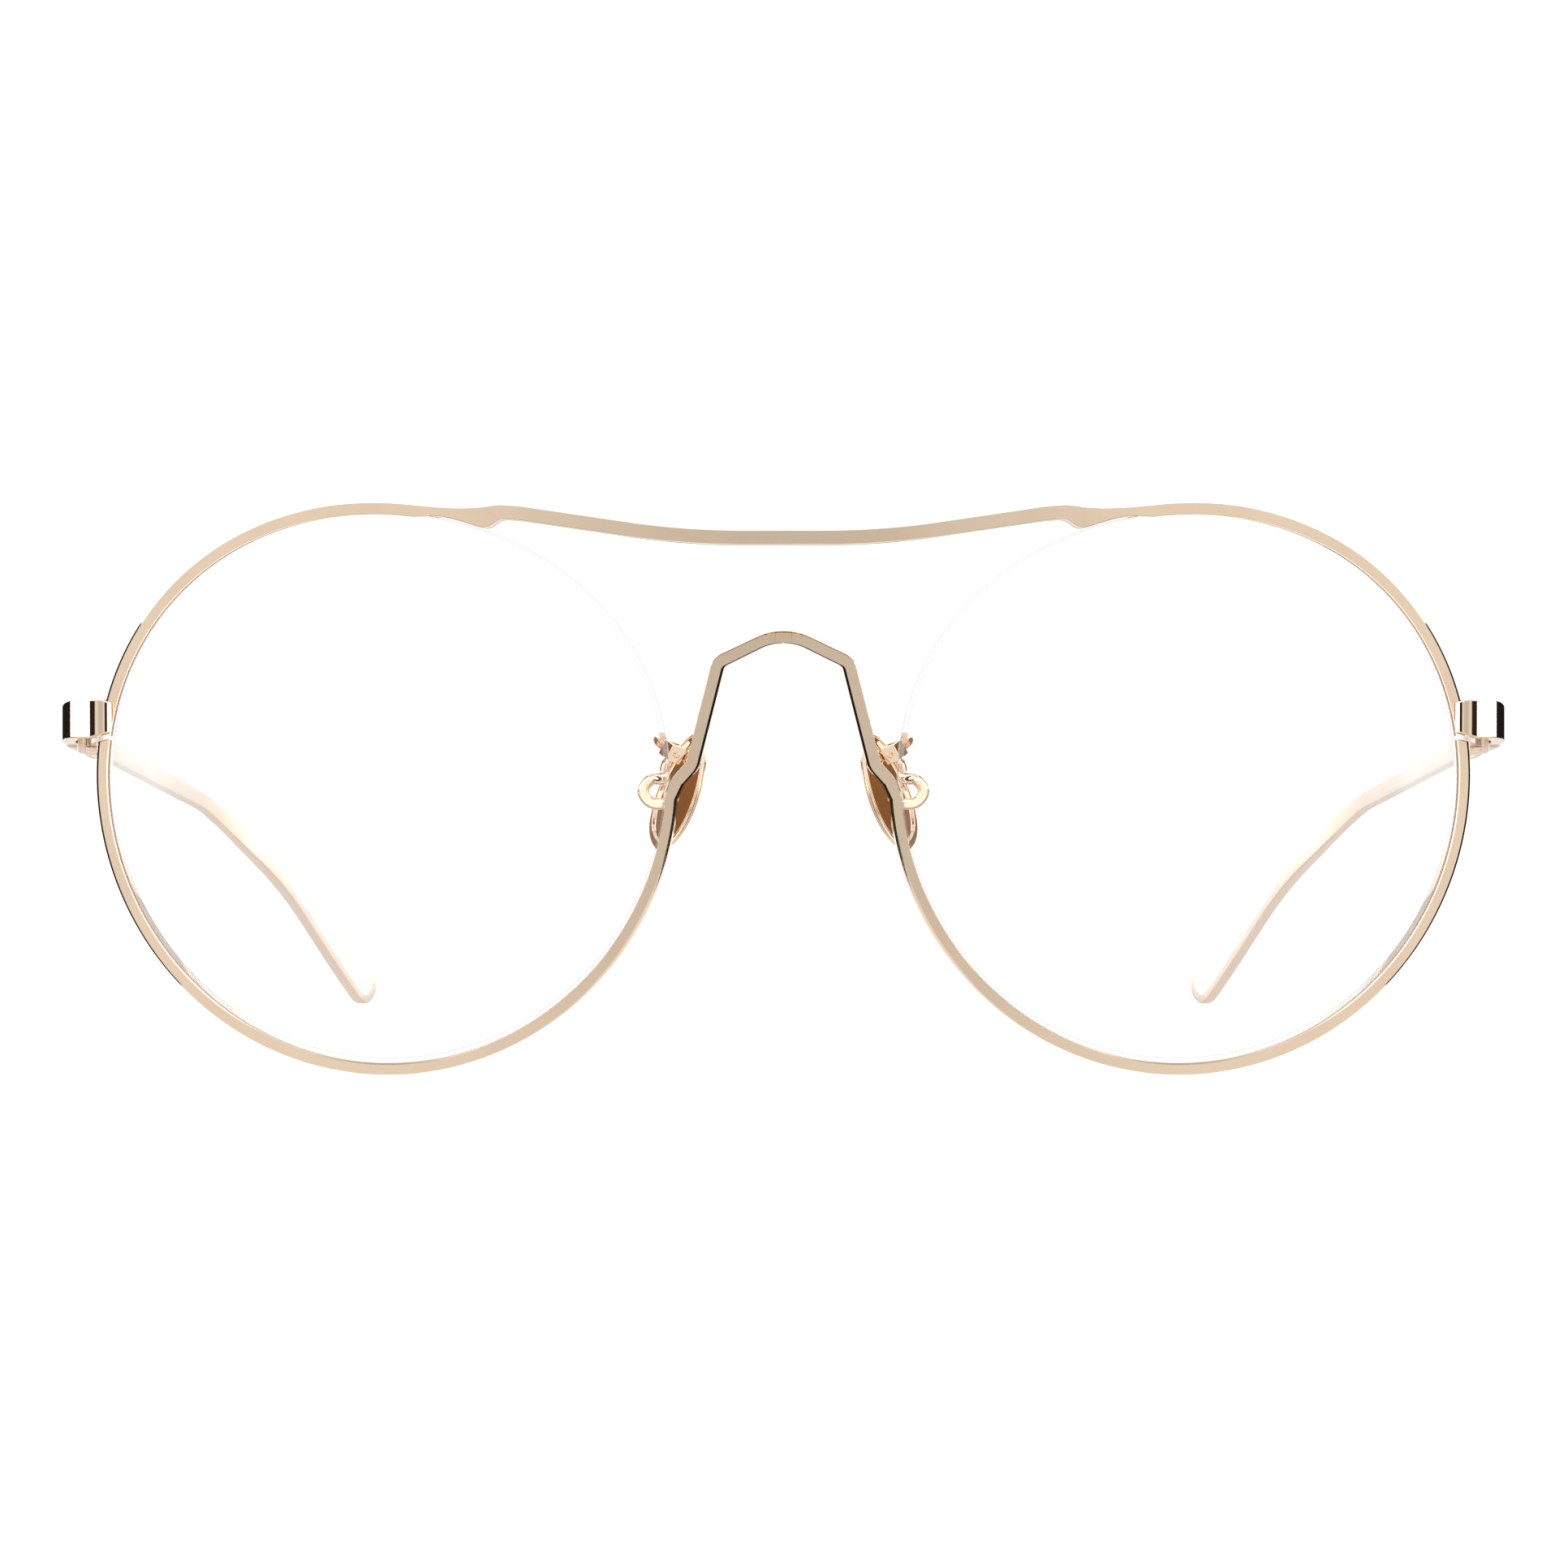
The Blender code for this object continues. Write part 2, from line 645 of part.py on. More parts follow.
def make_hinge_screw(side, material):
    """The hinge screw, with its head on top."""
    profile = ((-1.8, 0.30), (-1.7, HINGE_PIN), (HINGE_HALF + 0.1, HINGE_PIN),
               (HINGE_HALF + 0.1, 0.78), (HINGE_HALF + 0.38, 0.78), (HINGE_HALF + 0.52, 0.60))
    builder = turned(hinge_point(side, 0.0, 0.0, 0.0), hinge_axes(side)[2], profile, 16)
    return add_object(SIDE_NAMES[side] + "_hinge_screw", builder, material)


# ---------------------------------------------------------------- temples
def temple_path():
    """Centre line of a temple in (out, depth, z), with the distance run at each point."""
    corners = [corner for corner, radius in TEMPLE_CORNERS]
    radii = [radius for corner, radius in TEMPLE_CORNERS]
    bends = rounded_path([TEMPLE_START] + corners + [TEMPLE_END], radii, math.radians(5.0))
    path = []
    for start, end in zip(bends, bends[1:]):
        length = (end - start).length
        pieces = max(1, round(length / 9.0))
        path += [start.lerp(end, k / pieces) for k in range(pieces)]
    path.append(bends[-1])
    last = path.pop()
    before = path[-1]
    run = (last - before).length
    aim = (last - before).normalized()
    path += [last - aim * TIP_ROUND * f for f in (1.0, 0.72, 0.45, 0.2, 0.05) if TIP_ROUND * f < run]
    path.append(last)
    distances = [0.0]
    for start, end in zip(path, path[1:]):
        distances.append(distances[-1] + (end - start).length)
    return path, distances


def path_frame(path, i):
    """Along, outward and upward directions of the temple at a point of its path."""
    before = path[max(0, i - 1)]
    after = path[min(len(path) - 1, i + 1)]
    along = (after - before).normalized()
    outward = along.cross(Vector((0.0, 0.0, 1.0))).normalized()
    return along, outward, outward.cross(along)


def tip_factor(remaining):
    """Share of the full height left near the rounded tip."""
    if remaining >= TIP_ROUND:
        return 1.0
    part = 1.0 - remaining / TIP_ROUND
    return max(0.25, math.sqrt(max(0.0, 1.0 - part * part)))


def make_temple(side, material, pocket):
    """A temple: a thin flat bar that deepens to the hinge and broadens into a paddle."""
    path, distances = temple_path()
    total = distances[-1]
    rings = []
    for i, point in enumerate(path):
        along, outward, upward = path_frame(path, i)
        height = interpolate(TEMPLE_HEIGHTS, distances[i]) * tip_factor(total - distances[i]) / 2.0
        thick = interpolate(TEMPLE_THICKNESSES, distances[i]) / 2.0
        soft = 0.22
        ring = []
        for a, b in ((thick, height - soft), (thick - soft, height), (soft - thick, height),
                     (-thick, height - soft), (-thick, soft - height), (soft - thick, -height),
                     (thick - soft, -height), (thick, soft - height)):
            spot = point + outward * a + upward * b
            ring.append(place(side, *spot))
        rings.append(ring)
    thing = add_object(SIDE_NAMES[side] + "_temple", loft(rings), material)
    combine(thing, pocket, "DIFFERENCE")
    return thing


def inlay_builder(side, spread, deep, proud):
    """The pad set into the inner face of a temple tip, larger by spread for its pocket."""
    path, distances = temple_path()
    total = distances[-1]
    first = total - INLAY_LENGTH - INLAY_END - spread
    last = total - INLAY_END + spread
    steps = 12
    rings = []
    for k in range(steps + 1):
        part = 0.5 - 0.5 * math.cos(math.pi * k / steps)
        at = first + (last - first) * part
        i = max(j for j in range(len(path) - 1) if distances[j] <= at)
        share = (at - distances[i]) / (distances[i + 1] - distances[i])
        point = path[i].lerp(path[i + 1], share)
        along, outward, upward = path_frame(path, i + (1 if share > 0.5 else 0))
        height = interpolate(TEMPLE_HEIGHTS, at) / 2.0 - INLAY_BORDER + spread
        edge = min(at - first, (last - at) * 1.2)
        height *= max(0.30, math.sqrt(min(1.0, max(0.02, edge / 2.0))))
        inner = -interpolate(TEMPLE_THICKNESSES, at) / 2.0
        ring = []
        for a, b in ((inner - proud, -height * 0.8), (inner - proud, height * 0.8),
                     (inner - proud * 0.3, height), (inner + deep, height),
                     (inner + deep, -height), (inner - proud * 0.3, -height)):
            ring.append(place(side, *(point + outward * a + upward * b)))
        rings.append(ring)
    return loft(rings)


# ---------------------------------------------------------------- nose pads
def pad_point(side, up, back, face):
    """World point from distances along the pad's own directions."""
    spot = PAD_CENTRE + PAD_UP * up + PAD_BACK * back + PAD_FACE * face
    return place(side, *spot)


def box_axes(side):
    """Directions along the pad screw, along the box and off the pad in the world."""
    return direction(side, SCREW_AXIS), direction(side, BOX_UP), direction(side, PAD_FACE)


def screw_point(side, along=0.0):
    """World point on the pad screw's axis, at a distance from the middle of the box."""
    spot = PAD_CENTRE + PAD_UP * PAD_BOSS_UP - PAD_FACE * PAD_BOX_OFF + SCREW_AXIS * along
    return place(side, *spot)


def pad_ring(side, size, face):
    """Oval ring of the pad, broader at its lower end, at a height over its middle plane."""
    count = 28
    points = []
    for k in range(count):
        angle = 2.0 * math.pi * k / count
        up = math.sin(angle)
        width = PAD_HALF_WIDTH * (1.0 - 0.16 * up)
        points.append(pad_point(side, PAD_HALF_LENGTH * up * size,
                                width * math.cos(angle) * size, face))
    return points


def make_nose_pad(side, material, hole):
    """A metal pad: flat contact face, dished back with a raised border, and a screwed tab."""
    rows = ((0.30, 0.62), (0.58, 0.62), (0.84, 0.42), (1.0, 0.0), (1.0, -0.42), (0.90, -0.48),
            (0.82, -0.05), (0.4, 0.05))
    rings = [pad_ring(side, size, face) for size, face in rows]
    builder = loft(rings)
    name = SIDE_NAMES[side] + "_nose_pad"
    thing = add_object(name, builder, material)
    centre = pad_point(side, PAD_BOSS_UP, 0.0, -PAD_BOX_OFF / 2.0)
    length = PAD_BOX_OFF + 0.9
    tab = block(centre, box_axes(side), (TAB_THICKNESS, TAB_WIDTH, length))
    combine(thing, cutter(name + "_tab", tab), "UNION")
    combine(thing, hole, "DIFFERENCE")
    return thing


def pad_hole(side):
    """Cutter for the pad screw's hole through the box and the tab."""
    builder = turned(screw_point(side, -2.0), direction(side, SCREW_AXIS),
                     ((0.0, PAD_HOLE), (4.0, PAD_HOLE)), 12)
    return cutter(SIDE_NAMES[side] + "_pad_screw_hole", builder)


def make_pad_box(side, material, hole):
    """The forked box on the arm that holds the pad's tab."""
    name = SIDE_NAMES[side] + "_pad_box"
    thing = add_object(name, block(screw_point(side), box_axes(side), BOX_SIZE), material)
    slot_centre = screw_point(side) + direction(side, PAD_FACE) * 0.55 * MM
    slot = block(slot_centre, box_axes(side), (SLOT_WIDTH, BOX_SIZE[1] + 1.0, 2.6))
    combine(thing, cutter(name + "_slot", slot), "DIFFERENCE")
    combine(thing, hole, "DIFFERENCE")
    return thing


def make_pad_screw(side, material):
    """The screw through the box and the tab, its head at the back."""
    half = BOX_SIZE[0] / 2.0
    profile = ((-half - 0.35, 0.20), (-half - 0.25, PAD_PIN), (half + 1.3, PAD_PIN),
               (half + 1.3, 0.66), (half + 2.0, 0.70), (half + 2.3, 0.45))
    builder = turned(screw_point(side), direction(side, SCREW_AXIS), profile, 12)
    return add_object(SIDE_NAMES[side] + "_pad_screw", builder, material)


def make_pad_arm(side, material):
    """The looped wire from the back of the rim to the pad box."""
    middle = PAD_CENTRE + PAD_UP * PAD_BOSS_UP - PAD_FACE * PAD_BOX_OFF
    end = middle - BOX_UP * (BOX_SIZE[1] / 2.0 + 0.12)
    points = list(ARM_POINTS) + [tuple(end - BOX_UP * 0.8), tuple(end)]
    path = smooth_curve(points, 4)
    rings = []
    across = None
    for i, point in enumerate(path):
        along = (path[min(i + 1, len(path) - 1)] - path[max(i - 1, 0)]).normalized()
        if across is None:
            across = along.orthogonal()
        across = (across - along * across.dot(along)).normalized()
        other = along.cross(across)
        ring = []
        for k in range(8):
            angle = math.pi * k / 4.0
            spoke = across * math.cos(angle) + other * math.sin(angle)
            ring.append(place(side, *(point + spoke * ARM_RADIUS)))
        rings.append(ring)
    return add_object(SIDE_NAMES[side] + "_pad_arm", loft(rings), material, 50.0)


# ---------------------------------------------------------------- assembly
def set_origin(thing, point):
    """Put an object's origin on its joint's axis without moving the object."""
    thing.data.transform(Matrix.Translation(-point))
    thing.location = point


def make_side(side, gold, polished, dark, lens, inlay):
    """Every piece that one side has."""
    name = SIDE_NAMES[side]
    make_lens(side, lens)
    make_endpiece(side, polished)
    make_wing(side, polished)
    hole = lock_hole(side)
    make_rim_lock(side, "_upper_rim_lock", LOCK_UPPER, gold, hole)
    make_rim_lock(side, "_lower_rim_lock", LOCK_LOWER, gold, hole)
    make_lock_screw(side, dark)

    clear = KNUCKLE_SPLIT + KNUCKLE_GAP
    outside = HINGE_HALF + 0.5
    make_leaf(side, "_front_hinge", -1, FRONT_LEAF, ((-clear, clear),), gold)
    temple_leaf = make_leaf(side, "_temple_hinge", 1, TEMPLE_LEAF,
                            ((-outside, -KNUCKLE_SPLIT), (KNUCKLE_SPLIT, outside)), gold)
    make_hinge_screw(side, dark)
    pocket = cutter(name + "_tip_pocket", inlay_builder(side, 0.12, INLAY_SUNK + 0.12, 1.0))
    temple = make_temple(side, gold, pocket)
    tip_pad = add_object(name + "_tip_pad", inlay_builder(side, 0.0, INLAY_SUNK, INLAY_PROUD), inlay)
    for thing in (temple_leaf, temple, tip_pad):
        set_origin(thing, hinge_point(side, 0.0, 0.0, 0.0))

    hole = pad_hole(side)
    make_pad_arm(side, polished)
    make_pad_box(side, polished, hole)
    pad = make_nose_pad(side, polished, hole)
    set_origin(pad, screw_point(side))
    make_pad_screw(side, dark)


def main():
    """Build the eyeglasses."""
    clear_scene()
    gold = make_material("gold", GOLD, 0.25, 1.0)
    polished = make_material("polished_gold", POLISHED, 0.08, 1.0)
    dark = make_material("dark_gold", DARK_GOLD, 0.2, 1.0)
    lens = make_material("lens", (0.95, 0.97, 0.98), 0.02, 0.0, 0.3)
    inlay = make_material("inlay", (0.92, 0.91, 0.89), 0.45, 0.0)
    make_wire("brow_wire", brow_stations(), gold)
    make_wire("bridge_wire", bridge_stations(), gold)
    for side in (LEFT, RIGHT):
        make_side(side, gold, polished, dark, lens, inlay)


main()
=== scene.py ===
"""Looks for the round wire eyeglasses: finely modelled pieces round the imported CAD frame.

Lengths in the layout are millimetres.  A point is given as (out, depth, z): out is the distance
from the mid plane towards a piece's own side, depth is measured back from the middle of the
bridge and z up from the table.  "Left" is the -X side, as in the frame.
"""
import math

import bmesh
import bpy
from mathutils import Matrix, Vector


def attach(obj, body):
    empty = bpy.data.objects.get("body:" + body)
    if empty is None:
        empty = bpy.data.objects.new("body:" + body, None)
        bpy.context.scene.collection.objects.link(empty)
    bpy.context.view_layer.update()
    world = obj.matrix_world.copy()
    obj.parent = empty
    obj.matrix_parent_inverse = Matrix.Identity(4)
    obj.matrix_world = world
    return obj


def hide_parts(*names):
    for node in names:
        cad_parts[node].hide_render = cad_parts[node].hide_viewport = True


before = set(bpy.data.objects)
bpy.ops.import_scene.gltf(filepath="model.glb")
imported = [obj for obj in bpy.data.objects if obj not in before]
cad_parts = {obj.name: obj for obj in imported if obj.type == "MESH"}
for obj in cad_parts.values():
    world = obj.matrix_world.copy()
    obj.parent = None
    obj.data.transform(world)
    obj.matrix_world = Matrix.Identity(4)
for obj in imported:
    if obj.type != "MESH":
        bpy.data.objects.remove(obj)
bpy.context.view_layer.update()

MM = 0.001
LEFT = -1
RIGHT = 1
SIDE_NAMES = {LEFT: "left", RIGHT: "right"}

# -------------------------------------- sizes shared with the CAD
HALF_DEPTH = 66.5
FLAT_HALF = 3.0
WRAP_START = 13.8
WRAP_ANGLE = math.radians(5.0)

LENS_OUT = 38.56
LENS_Z = 27.62
LENS_RADIUS = 27.30
LENS_SHAPE = ((-0.095, 0.29), (0.41, -0.21), (0.125, 0.282), (-0.055, 0.05))
LENS_FRONT = 0.47
LENS_LAND = 0.80
LENS_INSETS = ((0.0, 0.67), (30.0, 0.5), (60.0, 0.3), (84.0, 0.18), (120.0, 0.3), (180.0, 0.62),
               (230.0, 0.75), (270.0, 0.85), (320.0, 0.8), (360.0, 0.67))
LENS_BEVEL = 0.42
# Width of the grey line of painted shade round the lens's ground faces.
LENS_SHADE_LINE = 0.06
LENS_DOME = 2.80
LENS_THICKNESS = 1.60
RIM_STEP = 1.5

WIRE_DEPTH = 2.20
WIRE_LIP = 0.33
WIRE_OUTSIDE = 0.78
WIRE_CLEAR = 0.13
GROOVE_SKIN = 0.35
UPPER_SPLIT = 169.3
LOWER_SPLIT = 170.1
BROW_LEAVES = 84.0
BRIDGE_LEAVES = 358.0
BROW_NOTCH = (
    (33.2, 54.78, 53.95),
    (31.2, 54.68, 53.48),
    (29.8, 54.72, 53.03),
    (29.0, 54.78, 52.82),
    (28.4, 54.86, 52.93),
    (27.7, 54.94, 53.38),
    (27.0, 54.96, 53.62),
)
BAR_HALF = 0.66
BAR_Z = 51.75
BAR_LEVEL = 4.0
BAR_STRAIGHT = 15.0
BAR_SLOPE = 0.153
BRIDGE_CORNERS = (
    ((10.15, 28.35), 1.2),
    ((8.72, 29.95), 1.8),
    ((6.22, 39.78), 1.3),
    ((0.0, 42.80), 5.5),
)
LEG_HALF = 0.64
ARCH_HALF = 0.58

BLOCK_CENTRE = (66.3, 8.50)
BLOCK_OUTER = 4.45
BLOCK_INNER = 3.15
BLOCK_TOE_OUT = 65.25
BLOCK_TOE_FRONT = 4.20
BLOCK_TOE_BACK = 4.76
BLOCK_END = 10.0
BLOCK_HEIGHT = 3.7
BLOCK_TAPER = 0.4
BLOCK_Z = 34.45
BLOCK_SLOPE_FROM = 5.3
BLOCK_SLOPE = math.tan(math.radians(11.5))
TOE_FROM = 67.3
TOE_LIFT = 0.55
TOE_DROP = 0.25
TOE_BEVEL = (0.36, 0.30)
WING_THICKNESS = 0.45
WING_GAP = 0.14
WING_REACH = 67.3
LOCK_WIDTH = 1.0
LOCK_DEPTH = 1.6
LOCK_FRONT = 7.62
LOCK_UPPER = (66.55, 33.15, 35.9)
LOCK_LOWER = (66.75, 29.9, 32.2)
LOCK_SCREW_OUT = 66.65

HINGE_OUT = 68.2
HINGE_DEPTH = 11.2
HINGE_Z = 33.10
TEMPLE_SLOPE = math.radians(4.7)
KNUCKLE_RADIUS = 0.95
KNUCKLE_SPLIT = 1.35
KNUCKLE_GAP = 0.15
HINGE_HALF = 2.10
PLATE_INNER = 0.55
PLATE_OUTER = 1.13
FRONT_LEAF = 2.75
TEMPLE_LEAF = 4.8

TEMPLE_START = (70.15, 10.3, 33.35)
TEMPLE_CORNERS = (
    ((71.05, 103.0, 25.55), 26.0),
    ((63.05, 118.5, 15.15), 60.0),
)
TEMPLE_END = (54.9, 132.0, 0.62)
TEMPLE_HEIGHTS = ((0.0, 3.30), (10.0, 3.0), (28.0, 2.15), (88.0, 2.05), (104.0, 2.3), (131.0, 4.2))
TEMPLE_THICKNESSES = ((0.0, 1.30), (28.0, 1.10), (95.0, 1.10), (110.0, 1.50), (140.0, 1.50))
TIP_ROUND = 2.2
INLAY_LENGTH = 22.0
INLAY_END = 1.3
INLAY_BORDER = 0.75
INLAY_PROUD = 0.22

PAD_TILT = math.radians(20.0)
PAD_SPLAY = math.radians(36.0)
PAD_CENTRE = Vector((10.15, 8.8, 27.4))
PAD_UP = Vector((-math.sin(PAD_TILT), 0.0, math.cos(PAD_TILT)))
PAD_FACE = Vector((-math.cos(PAD_SPLAY) * math.cos(PAD_TILT), math.sin(PAD_SPLAY),
                   -math.cos(PAD_SPLAY) * math.sin(PAD_TILT)))
PAD_BACK = PAD_FACE.cross(PAD_UP)
PAD_HALF_LENGTH = 6.1
PAD_HALF_WIDTH = 3.4
SCREW_LIFT = math.radians(11.0)
SCREW_AXIS = PAD_BACK * math.cos(SCREW_LIFT) + PAD_UP * math.sin(SCREW_LIFT)
BOX_UP = PAD_UP * math.cos(SCREW_LIFT) - PAD_BACK * math.sin(SCREW_LIFT)
PAD_BOSS_UP = 3.4
PAD_BOX_OFF = 2.5
BOX_SIZE = (1.9, 1.75, 1.7)
ARM_RADIUS = 0.55
ARM_POINTS = (
    (10.85, 2.95, 26.6),
    (11.3, 3.9, 26.2),
    (12.9, 4.7, 26.3),
    (13.7, 5.0, 27.35),
    (13.0, 5.5, 28.5),
    (11.9, 6.3, 28.7),
)

# -------------------------------------- studio sizes, in metres
CAMERA_ASIDE = 0.00006
CAMERA_DISTANCE = 0.340
CAMERA_HEIGHT = 0.0281
CAMERA_LENS = 81.44    # millimetres, on a 36 mm sensor
FLOOR_REACH = 6.0
FLOOR_DROP = 0.00002
LIGHT_PLACE = (0.0, -0.1, 0.6)
BRIGHTEST = 3.0        # the studio's brightness where a ramp is white
BLACK = (0.01, 0.01, 0.01)
# Dark or brown card: distance from the middle, front, back, bottom and top
FLAG_CARDS = {
    "far": (0.15, -0.047, -0.006, -0.06, 0.09),
    "near": (0.085, -0.0519, 0.03, 0.031, 0.043),
    "nose": (0.0008, -0.0680, -0.0655, -0.010, 0.043),
    "cheek": (0.0165, -0.0600, -0.0535, 0.012, 0.036),
}
FLAG_COLOURS = {"cheek": (0.24, 0.125, 0.055)}


# -------------------------------------- layout
def place(side, out, depth, z):
    """World point in metres of a layout point in millimetres."""
    return Vector((side * out, depth - HALF_DEPTH, z)) * MM


def direction(side, vector):
    """World direction of a layout direction."""
    return Vector((side * vector[0], vector[1], vector[2]))


def interpolate(table, value):
    """Read a table of (position, number) rows with a smooth step between rows."""
    if value <= table[0][0]:
        return table[0][1]
    for (low, first), (high, last) in zip(table, table[1:]):
        if value <= high:
            part = (value - low) / (high - low)
            part = part * part * (3.0 - 2.0 * part)
            return first + (last - first) * part
    return table[-1][1]


def rounded_path(points, radii, arc_step):
    """Points of a polyline whose inner corners are rounded to the given radii."""
    vectors = [Vector(p) for p in points]
    path = [vectors[0]]
    for i, radius in enumerate(radii, start=1):
        corner = vectors[i]
        before = (vectors[i - 1] - corner).normalized()
        after = (vectors[i + 1] - corner).normalized()
        half = before.angle(after) / 2.0
        turn = math.pi - 2.0 * half
        centre = corner + (before + after).normalized() * (radius / math.sin(half))
        first = corner + before * (radius / math.tan(half)) - centre
        last = corner + after * (radius / math.tan(half)) - centre
        steps = max(2, round(turn / arc_step))
        for k in range(steps + 1):
            part = k / steps
            spoke = first * math.sin((1.0 - part) * turn) + last * math.sin(part * turn)
            path.append(centre + spoke / math.sin(turn))
    path.append(vectors[-1])
    return path


def catmull(a, b, c, d, t):
    """Point between b and c of a Catmull-Rom curve."""
    return 0.5 * (2 * b + (c - a) * t + (2 * a - 5 * b + 4 * c - d) * t * t
                  + (3 * b - a - 3 * c + d) * t ** 3)


def smooth_curve(points, steps):
    """Points of a Catmull-Rom curve through the given points."""
    vectors = [Vector(p) for p in points]
    ends = [2 * vectors[0] - vectors[1]] + vectors + [2 * vectors[-1] - vectors[-2]]
    curve = []
    for i in range(1, len(ends) - 2):
        for k in range(steps):
            curve.append(catmull(*ends[i - 1:i + 3], k / steps))
    curve.append(vectors[-1])
    return curve


def front_depth(out):
    """Depth of the wire's front face, and its slope as an angle, at a distance from the middle."""
    if out <= FLAT_HALF:
        return 0.0, 0.0
    reach = WRAP_START - FLAT_HALF
    slope = math.tan(WRAP_ANGLE)
    if out < WRAP_START:
        part = (out - FLAT_HALF) / reach
        return slope * reach * part * part / 2.0, math.atan(slope * part)
    return slope * (reach / 2.0 + out - WRAP_START), WRAP_ANGLE


def on_front(side, out, z, behind):
    """World point at a distance behind the wire's front face, measured square to the face."""
    depth, angle = front_depth(out)
    return place(side, out - behind * math.sin(angle), depth + behind * math.cos(angle), z)


def front_axes(side):
    """Across, back and up directions of the wrapped front plane."""
    across = direction(side, (math.cos(WRAP_ANGLE), math.sin(WRAP_ANGLE), 0.0))
    back = direction(side, (-math.sin(WRAP_ANGLE), math.cos(WRAP_ANGLE), 0.0))
    return across, back, Vector((0.0, 0.0, 1.0))


def lens_radius(angle):
    """Radius of the lens outline; angle 0 points to the nose and 90 degrees up."""
    radius = LENS_RADIUS
    for harmonic, (cosine, sine) in enumerate(LENS_SHAPE, start=1):
        radius += cosine * math.cos(harmonic * angle) + sine * math.sin(harmonic * angle)
    return radius


def lens_point(degrees, offset):
    """(out, z) of a point outside the lens outline by an offset."""
    angle = math.radians(degrees)
    radius = lens_radius(angle)
    turn = math.atan2(lens_radius(angle + 0.01) - lens_radius(angle - 0.01), 0.02 * radius)
    x = radius * math.cos(angle) + offset * math.cos(angle - turn)
    z = radius * math.sin(angle) + offset * math.sin(angle - turn)
    return Vector((LENS_OUT - math.cos(WRAP_ANGLE) * x, LENS_Z + z))


# -------------------------------------- mesh helpers
def add_piece(name, builder, materials, body, nodes, sharp_angle=35.0):
    """Turn a bmesh into a piece that rides on a body and stands for CAD nodes."""
    bmesh.ops.recalc_face_normals(builder, faces=builder.faces)
    mesh = bpy.data.meshes.new(name)
    builder.to_mesh(mesh)
    builder.free()
    mesh.shade_smooth()
    mesh.set_sharp_from_angle(angle=math.radians(sharp_angle))
    piece = bpy.data.objects.new(name, mesh)
    bpy.context.scene.collection.objects.link(piece)
    for material in materials:
        mesh.materials.append(material)
    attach(piece, body)
    if nodes:
        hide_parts(*nodes)
    return piece


def soften(piece, width, segments=3, angle=40.0):
    """Round the sharp edges of a piece, by a width in millimetres."""
    bevel = piece.modifiers.new("soft_edges", "BEVEL")
    bevel.width = width * MM
    bevel.segments = segments
    bevel.limit_method = "ANGLE"
    bevel.angle_limit = math.radians(angle)
    bevel.harden_normals = True
    return piece


def even_faces(piece):
    """Keep flat faces flat in the shading, so only the narrow edge roundings turn."""
    weighted = piece.modifiers.new("even_faces", "WEIGHTED_NORMAL")
    weighted.keep_sharp = True
    weighted.weight = 100
    return piece


def skin(builder, rings, first_pole=None, last_pole=None, material_rows=None):
    """Add a closed skin over rings of points, with flat caps or a point at each end."""
    rows = [[builder.verts.new(p) for p in ring] for ring in rings]
    for i, (row, following) in enumerate(zip(rows, rows[1:])):
        count = len(row)
        for k in range(count):
            n = (k + 1) % count
            face = builder.faces.new((row[k], row[n], following[n], following[k]))
            face.material_index = (material_rows or {}).get(i, 0)
    for row, pole in ((rows[0], first_pole), (rows[-1], last_pole)):
        if pole is None:
            builder.faces.new(row)
            continue
        tip = builder.verts.new(pole)
        for k in range(len(row)):
            builder.faces.new((row[k], row[(k + 1) % len(row)], tip))
    return builder


def loft(rings, first_pole=None, last_pole=None, material_rows=None):
    """A closed skin as a bmesh of its own."""
    return skin(bmesh.new(), rings, first_pole, last_pole, material_rows)


def add_block(builder, centre, axes, sizes):
    """Add a box from its centre, three unit directions and three full sizes in millimetres."""
    rings = []
    for end in (-0.5, 0.5):
        ring = []
        for a, b in ((-0.5, -0.5), (0.5, -0.5), (0.5, 0.5), (-0.5, 0.5)):
            offset = axes[0] * sizes[0] * a + axes[1] * sizes[1] * b + axes[2] * sizes[2] * end
            ring.append(centre + offset * MM)
        rings.append(ring)
    return skin(builder, rings)


def add_turned(builder, start, axis, profile, sides=40):
    """Add a turned piece: profile is rows of (distance along the axis, radius)."""
    axis = axis.normalized()
    across = axis.orthogonal().normalized()
    other = axis.cross(across)
    rings = []
    for along, radius in profile:
        ring = []
        for k in range(sides):
            angle = 2.0 * math.pi * k / sides
            spoke = across * math.cos(angle) + other * math.sin(angle)
            ring.append(start + (axis * along + spoke * radius) * MM)
        rings.append(ring)
    return skin(builder, rings)


def slotted_head(builder, centre, axis, radius, height, sides=40, slot=0.16):
    """Add a screw head whose top has a straight driver slot, standing on a centre point."""
    axis = axis.normalized()
    across = axis.orthogonal().normalized()
    other = axis.cross(across)
    for sign in (-1, 1):
        outline = []
        start = math.asin(slot / radius)
        for k in range(sides // 2 + 1):
            angle = start + (math.pi - 2.0 * start) * k / (sides // 2)
            outline.append((radius * math.cos(angle), sign * radius * math.sin(angle)))
        rings = []
        for along, size in ((height * 0.45, 1.0), (height * 0.8, 1.0), (height, 0.86)):
            rings.append([centre + (axis * along + across * (a * size)
                                    + other * (sign * slot + (b - sign * slot) * size)) * MM
                          for a, b in outline])
        skin(builder, rings)
    add_turned(builder, centre, axis, ((0.0, radius * 0.97), (height * 0.05, radius),
                                       (height * 0.5, radius)), sides)
    return builder


